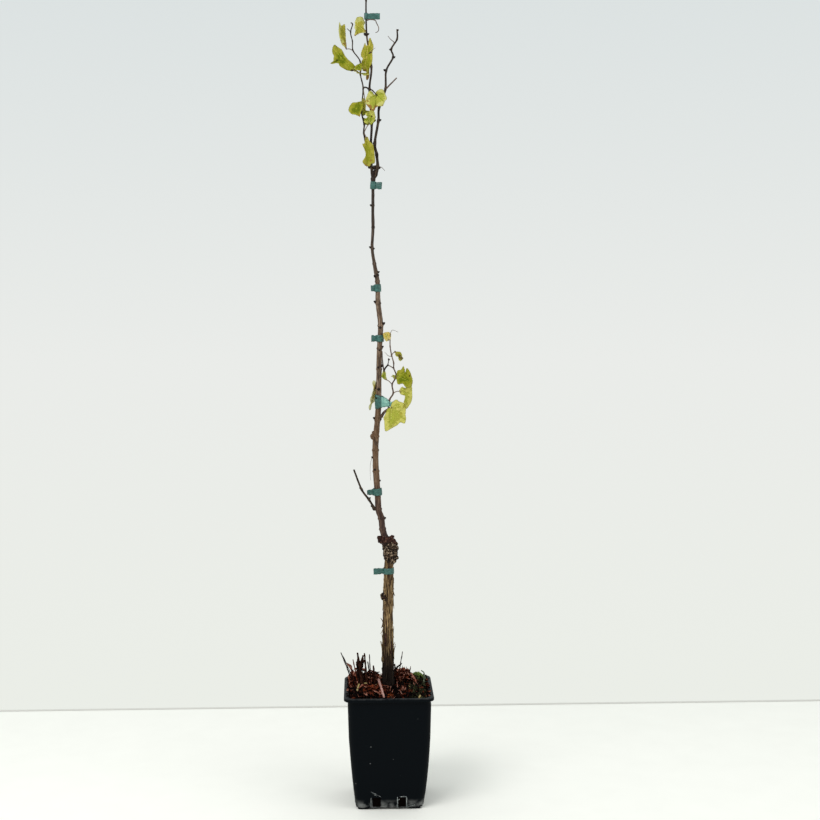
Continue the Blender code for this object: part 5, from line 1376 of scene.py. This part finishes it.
def snug_tie(growth, course, height, room, band, tail, azimuth, tilt, taper):
    """A loop of tape round a limb whose two ends run out together as a tail, pinched where they part."""
    centre, radius = course_at(course, height)
    lean = course_at(course, height + band / 2)[0] - centre
    middle = radius + room + math.hypot(lean[0], lean[1]) + math.sin(math.radians(abs(tilt))) * radius + 0.35
    start = math.asin(0.45 / middle)
    angles = np.linspace(start, TAU - start, 56)
    loop = round_path(middle, angles)
    out = np.linspace(middle + tail, middle + 0.6, 12)
    parting = 0.3 + 0.5 * ((out - middle) / tail) ** 3
    path = np.vstack((np.column_stack((out, parting)), loop, np.column_stack((out, -parting))[::-1]))
    past = path[:, 0] - middle
    pinch = 0.16 * np.exp(-((past - 2.5) / 2.0) ** 2)
    heights = band * (1.0 - pinch - taper * np.clip(past / tail, 0.0, 1.0))
    tape(growth, path, heights, centre, azimuth, tilt, 0)


def wide_tie(growth, course, shoot):
    """One wide loop round the main cane and a shoot beside it, gathered and hanging lower at the shoot; its
    part round the cane takes the dark tape as painted shade.
    """
    cane, radius = course_at(course, WIDE_TIE_LEVEL)
    across = shoot[:2] - cane[:2]
    span = float(np.linalg.norm(across)) + 1.6
    near, far = radius + WIDE_TIE_ROOM, WIDE_TIE_FAR
    half_turn = np.linspace(-math.pi / 2, math.pi / 2, 24)
    share = np.linspace(0.0, 1.0, 26)[:, None]
    path = np.vstack((
        round_path(far, half_turn) + (span, 0.0),
        (np.array((span, far)) * (1.0 - share) + np.array((0.0, near)) * share)[1:],
        round_path(-near, half_turn)[1:],
        (np.array((0.0, -near)) * (1.0 - share) + np.array((span, -far)) * share)[1:-1],
    ))
    share = np.clip(path[:, 0] / span, 0.0, 1.0)
    heights = WIDE_TIE_HEIGHT * (1.0 + (WIDE_TIE_GATHER - 1.0) * share)
    azimuth = math.degrees(math.atan2(across[1], across[0]))
    # painted shade: the part round the main cane takes the dark tape finish, the rest the pale one
    pale = np.where(path[:, 0] < near + 0.8, 0, 1)
    drop = WIDE_TIE_DROP * share ** 2
    tape(growth, path, heights, (*cane[:2], WIDE_TIE_LEVEL), azimuth, 0.0, pale, 0.25, drop)


def build_ties(courses, shoot):
    """The snug loops with their tails, and the wide gathered loop."""
    growth = Growth()
    for limb_name, *row in TIES:
        snug_tie(growth, courses[limb_name], *row)
    wide_tie(growth, courses["main_cane"], shoot)
    ties = tuple(f"tie_{number}" for number in range(1, len(TIES) + 2))
    make_piece("tie_tapes", growth, [tie_tape, pale_tape], ties)


# ================================================================================= pot

def quarter_turned(points, quarter):
    """Points turned about Z by a number of quarter turns: (x·c - y·s, x·s + y·c)."""
    c, s = math.cos(quarter * math.pi / 2), math.sin(quarter * math.pi / 2)
    x, y = points[..., 0], points[..., 1]
    return np.concatenate(((x * c - y * s)[..., None], (x * s + y * c)[..., None], points[..., 2:]), axis=-1)


def rounded_square(half, corner, count=14):
    """Outline of a square with round corners: a subdivided side and a quarter arc, four times over."""
    arc = np.linspace(0.0, math.pi / 2, count)
    side = np.linspace(-1.0, 1.0, 24)[1:-1] * (half - corner)
    straight = np.column_stack((np.full(22, half), side))
    bend = half - corner + round_path(corner, arc)
    one_side = np.vstack((straight, bend))
    return np.vstack([quarter_turned(one_side, quarter) for quarter in range(4)])


def square_rings(stations, place=(0.0, 0.0)):
    """Rings of rounded squares, one for each station (half width, height, corner radius)."""
    rings = []
    for half, height, corner in stations:
        outline = rounded_square(half, min(corner, half * 0.95))
        rings.append(np.column_stack((outline + np.array(place), np.full(len(outline), height))))
    return np.array(rings)


def pot_half(height):
    """Half width of the pot's straight tapering wall at a height."""
    return POT_FOOT_HALF + (POT_TOP_HALF - POT_FOOT_HALF) * (height - PAD_HEIGHT) / (POT_HEIGHT - PAD_HEIGHT)


def pot_shell():
    """Rings of one closed shell: out under the floor, up the wall, round the turned-down rim and down inside.

    The wall bows out by 0.35·sin(pi·z / 190), and the filled pot's bulges come on top of that.
    """
    stations = [*POT_UNDERSIDE]
    stations += [(pot_half(z) + 0.35 * math.sin(math.pi * z / 190.0), z, 0) for z in POT_WALL_LEVELS]
    stations += POT_RIM
    stations += [(pot_half(z) - POT_WALL, z, -1.5) for z in POT_INNER_LEVELS]
    stations += POT_FLOOR
    rings = square_rings([(half, height, POT_CORNER + more) for half, height, more in stations])
    walls = (0, 1, RIGHT_BULGE), (0, -1, LEFT_BULGE), (1, 1, DEEP_BULGE), (1, -1, DEEP_BULGE)
    for axis, sign, bulge in walls:
        push = np.interp(rings[..., 2], BULGE_LEVELS, bulge)
        rings[..., axis] += np.clip(sign * rings[..., axis] / POT_FOOT_HALF, 0.0, 1.0) * push * sign
    return rings


def cut_drains(pot):
    """Cuts two windows through the foot of each wall with one Boolean."""
    holes = Growth()
    width, height = DRAIN_SIZE
    outline = rounded_square(1.0, 0.22, 6)[:, ::-1] * 0.5
    z = outline[:, 1] * height + DRAIN_SILL + height / 2
    for quarter in range(4):
        for side in (-1, 1):
            x = outline[:, 0] * width + side * DRAIN_OFFSET
            box = np.stack([np.column_stack((x, np.full(len(x), y), z)) for y in DRAIN_REACH])
            holes.add(*skin(quarter_turned(box, quarter)))
    cutter = make_piece("drain_cutter", holes, [])
    cut = pot.modifiers.new("drains", "BOOLEAN")
    cut.operation, cut.solver, cut.object = "DIFFERENCE", "EXACT", cutter
    bpy.context.view_layer.update()
    cut_mesh = bpy.data.meshes.new_from_object(pot.evaluated_get(bpy.context.evaluated_depsgraph_get()))
    pot.modifiers.clear()
    pot.data = cut_mesh
    bpy.data.objects.remove(cutter, do_unlink=True)
    cut_mesh.set_sharp_from_angle(angle=math.radians(38.0))


def build_pot():
    """The moulding with its drain windows, and the pads it stands on with pale strokes above them: painted
    reflection on the windows' edges, and scuffs.
    """
    growth = Growth()
    growth.add(*skin(pot_shell()))
    cut_drains(make_piece("pot_moulding", growth, [pot_plastic], ("pot",)))
    feet = Growth()
    # painted reflection: pale strips along the drain windows' edges, and scuffs on the walls
    for quarter in range(4):
        for points, radius in EDGE_GLINTS_AND_SCUFFS:
            route, sizes = smooth_route(points, (radius, radius), 10)
            feet.add(*limb(quarter_turned(route, quarter), sizes, 8), 1)
    for x, y, half in PAD_PLACES:
        pad = [(half - inset, height, PAD_CORNER) for inset, height in PAD_PROFILE]
        feet.add(*skin(square_rings(pad, (x, y))))
    make_piece("pot_feet", feet, [pot_plastic, glint_and_scuff_plastic], ("pot",))


# ================================================================================= litter and moss

def bed_height(x, y):
    """The litter's level: higher in the middle, the back and the heaps, with 14 mm lumps and fine crumbs."""
    x, y = np.asarray(x, dtype=float), np.asarray(y, dtype=float)
    reach = np.minimum(np.maximum(np.abs(x), np.abs(y)) / BED_HALF, 1.0)
    where = np.stack((x, y, np.zeros_like(x)), axis=-1)
    lumps = 2.4 * lattice_noise(where, 14.0, 61) + 1.3 * lattice_noise(where, 4.5, 62)
    heaps = sum(high * np.exp(-((x - right) / wide) ** 2 - ((y - back) / deep) ** 2)
                for right, back, high, wide, deep in HEAPS)
    return BED_LEVEL + BED_HEAP * np.cos(reach * math.pi / 2) + 1.5 * y / BED_HALF + lumps + heaps


def on_bed(x, y, lift):
    """A point that lies at a height over the bed."""
    return np.array((x, y, float(bed_height(x, y)) + lift))


def build_bed():
    """A closed slab whose top follows the bed's level and whose foot lies on the compost."""
    outline = rounded_square(BED_HALF, BED_CORNER)
    flat = np.linspace(0.0, 1.0, 46)[:0:-1, None, None] * outline
    top = np.concatenate((flat, bed_height(flat[..., 0], flat[..., 1])[..., None]), axis=-1)
    foot = at_depth(flat[:1], COMPOST_LEVEL)
    inner = at_depth(flat[-1:], COMPOST_LEVEL)
    growth = Growth()
    growth.add(*skin(np.concatenate((inner, foot, top))))
    return growth


def scattered(growth, shape, faces, places, turns, sizes, finishes):
    """Copies of one small shape: each is scaled, turned by its own three angles and set in its place."""
    a, b, c = turns.T
    ca, sa, cb, sb, cc, sc = np.cos(a), np.sin(a), np.cos(b), np.sin(b), np.cos(c), np.sin(c)
    spin = np.stack((
        np.stack((ca * cb, ca * sb * sc - sa * cc, ca * sb * cc + sa * sc), axis=-1),
        np.stack((sa * cb, sa * sb * sc + ca * cc, sa * sb * cc - ca * sc), axis=-1),
        np.stack((-sb, cb * sc, cb * cc), axis=-1)), axis=1)
    points = np.einsum("nij,nkj->nki", spin, shape[None] * sizes[:, None, :]) + places[:, None, :]
    offsets = (np.arange(len(places)) * len(shape))[:, None, None]
    all_faces = [(face[None] + offsets).reshape(-1, face.shape[1]) for face in faces]
    dealt = [np.repeat(finishes, len(face)) for face in faces]
    growth.add(points.reshape(-1, 3), all_faces, dealt)


def flake_shape(sectors=7, dish=0.35, thick=0.07):
    """A dished chip of unit radius: two faces that share their jagged edge."""
    turn = circle(sectors)
    edge = 1.0 + 0.22 * np.cos(turn * 3.0 + 0.6)
    rim = np.column_stack((edge * np.cos(turn), edge * np.sin(turn), dish * np.cos(turn * 2.0) ** 2))
    lower, upper = (turned_shape(np.array((0.5,)), np.array((dish * 0.25 + half,)), sectors)[0]
                    for half in (-thick, thick))
    return skin(np.stack((lower, rim, upper)))


def chips(growth, dice):
    """Flakes strewn clear of the trunk and the moss: redder on the heaps, greener to the right, and all black
    in a painted shadow before the trunk's foot.
    """
    x, y = dice.uniform(-BED_HALF + 2.0, BED_HALF - 2.0, (2, FLAKES))
    keep = (np.hypot(x, y) > TRUNK_CLEAR) & (np.hypot(x - MOSS_PLACE[0], y - MOSS_PLACE[1]) > MOSS_RADIUS)
    x, y = x[keep], y[keep]
    count = len(x)
    places = np.column_stack((x, y, bed_height(x, y) + dice.uniform(-0.5, 3.0, count)))
    turns = np.column_stack((dice.uniform(0, TAU, count), *dice.normal(0, 0.9, (2, count))))
    size = dice.uniform(*FLAKE_SIZES, count)
    long, wide = dice.uniform(0.9, 1.8, count), dice.uniform(0.45, 1.0, count)
    sizes = np.column_stack((size * long, size * wide, size))
    over_edge = np.maximum(np.abs(x), np.abs(y)) + sizes[:, 0] > BED_HALF + 1.0
    sizes *= np.where(over_edge, 0.45, 1.0)[:, None]
    heap_tints = dice.choice(4, count, p=HEAP_TINT_SHARES)
    bed_tints = dice.choice(4, count, p=BED_TINT_SHARES)
    tints = np.where(bed_height(x, y) > BED_LEVEL + 9.0, heap_tints, bed_tints)
    tints = np.where((x > GREEN_SIDE) & (np.arange(count) % 2 == 0), DARK_GREEN, tints)
    # painted shadow: every flake before the trunk's foot takes the black tint
    right, back, wide, deep = FOOT_SHADOW_PATCH
    tints[np.hypot((x - right) / wide, (y - back) / deep) < 1.0] = 0
    scattered(growth, *flake_shape(), places, turns, sizes, tints)


def rim_scraps(growth, dice):
    """Small scraps along the pot's rim, except at its front."""
    edge = rounded_square(BED_HALF + 2.2, BED_CORNER)
    edge = edge[edge[:, 1] > RIM_FRONT]
    edge = edge[dice.integers(0, len(edge), RIM_SCRAPS)] + dice.normal(0.0, 1.0, (RIM_SCRAPS, 2))
    places = np.column_stack((edge, dice.uniform(*RIM_LEVELS, RIM_SCRAPS)))
    turns = np.column_stack((dice.uniform(0, TAU, RIM_SCRAPS), *dice.normal(0, 0.5, (2, RIM_SCRAPS))))
    sizes = dice.uniform(1.2, 3.4, (RIM_SCRAPS, 3))
    scattered(growth, *flake_shape(), places, turns, sizes, dice.choice(3, RIM_SCRAPS, p=RIM_TINT_SHARES))


def loose_straws(growth, dice):
    """Short thin straws that lie on the bed's highest level under them."""
    for _ in range(STRAWS):
        length = dice.uniform(*STRAW_LENGTHS)
        turn = dice.uniform(0.0, TAU)
        middle = dice.uniform(-50.0, 50.0, 2)
        ends = middle + np.array(((-0.5,), (0.0,), (0.5,))) * length * (math.cos(turn), math.sin(turn))
        ends = np.clip(ends, -STRAW_LIMIT, STRAW_LIMIT)
        level = bed_height(*ends.T).max() + np.array((0.6, 2.4, 0.8)) + dice.uniform(-1.0, 3.5, 3)
        route = smooth_route(np.column_stack((ends, level)), dice.uniform(0.35, 0.8, 2), 12)
        growth.add(*limb(*route, 6), int(dice.choice(4, p=STRAW_TINT_SHARES)))


def weeds(growth):
    """Long lying straws, and the stubble of snapped weed stems: bent a little, with faint joints."""
    for points, radius, finish in LYING_STRAWS:
        points = np.array(points, dtype=float)
        points[:, 2] += bed_height(points[:, 0], points[:, 1])
        route = smooth_route(points, (radius, radius * 0.7), 24)
        growth.add(*limb(*route, 8, furrows(*STRAW_FURROWS)), finish)
    for number, (foot, tip, radius, finish) in enumerate(STUBBLE):
        foot, tip = np.array(foot), np.array(tip)
        middle = (foot + tip) / 2 + (tip[0] - foot[0]) * np.array((-0.08, 0.0, 0.05))
        nodes = np.array((foot, middle, tip)) + (0.0, 0.0, COMPOST_LEVEL)
        route, widths = smooth_route(nodes, (radius, radius * 0.5), 40)
        widths = widths * (1.0 + 0.12 * np.sin(np.arange(40) * 0.9 + number))
        growth.add(*limb(route, widths, 9, furrows(*STUBBLE_FURROWS, 70 + number)), finish)


def dead_leaf(growth, right, back, lift, azimuth, rise, length, width, family, seed):
    """A curled dead leaf whose foot lies a little over the bed."""
    slope = math.radians(rise)
    step = (heading(azimuth) * math.cos(slope) + (0.0, 0.0, math.sin(slope))) * length
    facing = -heading(azimuth) * math.sin(slope) + (0.0, 0.0, math.cos(slope))
    edge = plain_outline(length, width, np.random.default_rng(300 + seed))
    veins = Veins((0.0, 0.0), (1.0, 0.0), length)
    blade(growth, on_bed(right, back, lift), step_axes(step, facing), edge, veins, DEAD_LEAF_FAMILIES[family],
          0.5, (1.0, 0.0, 0.1), (), 200 + seed, 0.4, curl=0.35, columns=36, rings=5)


def heaped_litter(growth, dice):
    """Curled leaves and then short spikes: four in five on the two heaps in turn, the rest anywhere."""
    for number in range(HEAPED_LEAVES + SPIKES):
        right, back, _, wide, deep = HEAPS[number % 2] if number % 5 else WHOLE_BED
        place = np.array((right, back)) + dice.normal(0, 0.6, 2) * (wide, deep)
        x, y = (float(v) for v in np.clip(place, -HEAPED_LIMIT, HEAPED_LIMIT))
        in_moss = math.hypot(x - MOSS_PLACE[0], y - MOSS_PLACE[1]) < 1.6 * MOSS_RADIUS
        if in_moss or math.hypot(x, y) < TRUNK_CLEAR + 3.5:
            continue
        if number < HEAPED_LEAVES:
            dead_leaf(growth, x, y, dice.uniform(1.0, 4.0), dice.uniform(0, 360), dice.uniform(10, 75),
                      dice.uniform(9.0, 19.0), dice.uniform(0.6, 1.0),
                      int(dice.choice(3, p=HEAPED_LEAF_SHARES)), 40 + number)
            continue
        foot = on_bed(x, y, -3.0)
        rise = dice.uniform(*SPIKE_HEIGHTS)
        tip = foot + (*dice.normal(0, 3.0, 2), rise)
        bend = (foot + tip) / 2 + (*dice.normal(0, 1.2, 2), 0.0)
        route = smooth_route((foot, bend, tip), (dice.uniform(0.7, 1.5), 0.4), 8)
        growth.add(*limb(*route, 6), int(dice.choice(3, p=SPIKE_TINT_SHARES)))


def build_litter():
    """The bed with its chips, curled leaves, straws and stubble of snapped weed stems."""
    dice = np.random.default_rng(LITTER_SEED)
    growth = build_bed()
    chips(growth, dice)
    rim_scraps(growth, dice)
    loose_straws(growth, dice)
    weeds(growth)
    for number, row in enumerate(DEAD_LEAVES):
        dead_leaf(growth, *row, number)
    heaped_litter(growth, dice)
    make_piece("litter", growth, litter_finishes, ("leaf_litter",))


def build_moss():
    """A cushion covered with short pointed shoots that lean out from its middle."""
    dice = np.random.default_rng(MOSS_SEED)
    growth = Growth()
    centre = np.array((*MOSS_PLACE, MOSS_LEVEL))
    lump(growth, centre, MOSS_RADIUS * 0.8, 1.1, 90, 0, 0.25)
    turn = dice.uniform(0, TAU, MOSS_BLADES)
    rise = np.arcsin(dice.uniform(0.1, 1.0, MOSS_BLADES))
    places = centre + globe(rise, turn) * MOSS_RADIUS * 0.72 + dice.normal(0, 0.5, (MOSS_BLADES, 3))
    points, faces = skin(turned_shape(*np.array(MOSS_SHOOT).T, 4, flat=0.5))
    points[-1] = (0.0, 0.0, 1.0)
    turns = np.column_stack((turn, math.pi / 2 - rise, dice.uniform(-0.4, 0.4, MOSS_BLADES)))
    sizes = np.repeat(dice.uniform(*MOSS_SHOOT_LENGTHS, MOSS_BLADES)[:, None], 3, axis=1)
    scattered(growth, points, faces, places, turns, sizes, np.zeros(MOSS_BLADES, dtype=int))
    make_piece("moss_cushion", growth, [moss_green], ("moss_tuft",))


# ================================================================================= the whole plant

trunk = build_trunk()
build_graft()
main_cane = build_main_cane()
fork = main_cane[0][-1]
leader_nodes = walk(LEADER_FOOT, LEADER_STEPS)
leader_cane = stem_piece("leader_cane_bark", leader_nodes, fork, LEADER_RADII, "leader_cane", dark_cane,
                         LEADER_BUDS)
right_nodes = walk(RIGHT_FOOT, RIGHT_STEPS)
right_twig = walk(right_nodes[RIGHT_TWIG_NODE], RIGHT_TWIG)
stem_piece("right_cane_bark", right_nodes, fork, RIGHT_RADII, "right_cane", dark_cane,
           RIGHT_BUDS, [(right_twig, RIGHT_TWIG_RADII, 2)], FORK_KNOBS)
twig_nodes, twig_root = side_stem(main_cane, *DEAD_TWIG_FOOT, DEAD_TWIG_STEPS)
stem_piece("dead_twig_bark", twig_nodes, twig_root, DEAD_TWIG_RADII, "dead_twig", dark_cane,
           DEAD_TWIG_BUDS, swell=0.35)
left_nodes, left_root = side_stem(leader_cane, *LEFT_FOOT, LEFT_STEPS)
stem_piece("left_shoot_stem", left_nodes, left_root, LEFT_RADII, "left_shoot", dark_cane,
           twigs=LEFT_TWIGS)
lower_nodes, lower_root = side_stem(main_cane, *LOWER_FOOT, LOWER_STEPS)
lower_twigs = [*LOWER_TWIGS, (lower_nodes[:LOWER_SPUR_NODES], LOWER_SPUR_RADII, 2)]
stem_piece("lower_shoot_stem", lower_nodes, lower_root, LOWER_RADII, "lower_shoot", shoot_rind,
           twigs=lower_twigs, knobs=LOWER_TWIG_KNOBS)
hanging_foot = side_stem(main_cane, *HANGING_LEAF_FOOT, ())[0][0]
build_leaves({"left": left_nodes, "leader": leader_nodes, "lower": lower_nodes}, hanging_foot)
build_ties({"trunk": trunk, "main_cane": main_cane, "leader_cane": leader_cane},
           lower_nodes[WIDE_TIE_SHOOT_NODE])
build_pot()
build_litter()
build_moss()
for part_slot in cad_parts["compost"].material_slots:
    part_slot.material = peat


# ================================================================================= stage, lights and camera

def flat_strip(name, front, back, level, finish):
    """One wide flat face on the stage, between two distances behind the pot's middle, in metres."""
    mesh = bpy.data.meshes.new(name)
    side = FLOOR_HALF_WIDTH
    corners = ((-side, front, level), (side, front, level), (side, back, level), (-side, back, level))
    mesh.from_pydata(corners, [], ((0, 1, 2, 3),))
    mesh.materials.append(finish)
    strip = placed(name, mesh)


def build_stage():
    """A pale floor that ends a little way behind the pot in a slightly darker strip, a painted shadow line
    where the floor meets the backdrop.
    """
    paper, tree, shader = blank("matt white paper", 0.9, 0.1)
    fibre = put(tree, "TexNoise", {"Vector": stretched(tree, (60, 60, 60))}, {"Scale": 1.0})
    colour, socket = fill(put(tree, "ValToRGB", {"Fac": (fibre, "Fac")}), {0.0: "#faf8f1", 1.0: "#fffdf6"})
    tree.links.new(colour.outputs[socket], shader.inputs["Base Color"])
    flat_strip("floor", -3.2, FLOOR_END, 0.0, paper)
    # painted shadow: a grey strip on the floor's back edge stands in for the shade along its junction with
    # the backdrop
    junction_shadow, _, shader = blank("painted junction shadow grey", 0.9, 0.1)
    shader.inputs["Base Color"].default_value = tint("#dcd9d2")
    flat_strip("painted_junction_shadow", JUNCTION_SHADOW_START, FLOOR_END, 0.0005, junction_shadow)


def build_world():
    """Pale studio surround, whose colour runs with the height of the direction and greys towards the top."""
    world = bpy.data.worlds.new("studio")
    bpy.context.scene.world = world
    world.use_nodes = True
    tree = world.node_tree
    split = put(tree, "SeparateXYZ", {"Vector": (put(tree, "TexCoord"), "Generated")})
    rise = put(tree, "MapRange", {"Value": (split, "Z")}, {"From Min": -0.30, "From Max": 0.22})
    ramp = put(tree, "ValToRGB", {"Fac": (rise, "Result")})
    colour, socket = fill(ramp, {0.0: "#ebeee7", 0.5: "#eaece9", 1.0: "#dce2e2"})
    tree.links.new(colour.outputs[socket], tree.nodes["Background"].inputs["Color"])
    tree.nodes["Background"].inputs["Strength"].default_value = 1.0


def soft_light(name, place, size, power):
    """A square area lamp that faces the middle of the plant."""
    lamp = bpy.data.lights.new(name, "AREA")
    lamp.size, lamp.energy = size, power
    made = placed(name, lamp)
    made.location = place
    made.rotation_euler = (Vector(LIT_POINT) - Vector(place)).to_track_quat("-Z", "Y").to_euler()


def build_camera():
    """Camera that dips, yaws and rolls by the measured angles."""
    dip, yaw = math.radians(CAMERA_DIP), math.radians(-CAMERA_YAW)
    c, s = math.cos(yaw), math.sin(yaw)
    right, back = c * CAMERA_SIDE + s * CAMERA_DISTANCE, s * CAMERA_SIDE - c * CAMERA_DISTANCE
    place = Vector((right, back, CAMERA_HEIGHT))
    forward = Vector((-s * math.cos(dip), c * math.cos(dip), -math.sin(dip)))
    right = forward.cross(Vector((0, 0, 1))).normalized()
    axes = Matrix((right, right.cross(forward), -forward)).transposed()
    turn = Matrix.Rotation(math.radians(-CAMERA_ROLL), 3, forward) @ axes
    lens = bpy.data.cameras.new("camera")
    lens.sensor_width = SENSOR_WIDTH
    lens.lens = FOCAL_PIXELS * SENSOR_WIDTH / FRAME_PIXELS
    camera = placed("camera", lens)
    camera.matrix_world = Matrix.Translation(place) @ turn.to_4x4()
    bpy.context.scene.camera = camera


build_stage()
build_world()
soft_light("key", (-1.3, -1.6, 2.3), 1.4, 34.0)
soft_light("fill", (1.8, -1.2, 1.4), 1.6, 9.0)
build_camera()
bpy.context.scene.view_settings.view_transform = "Standard"
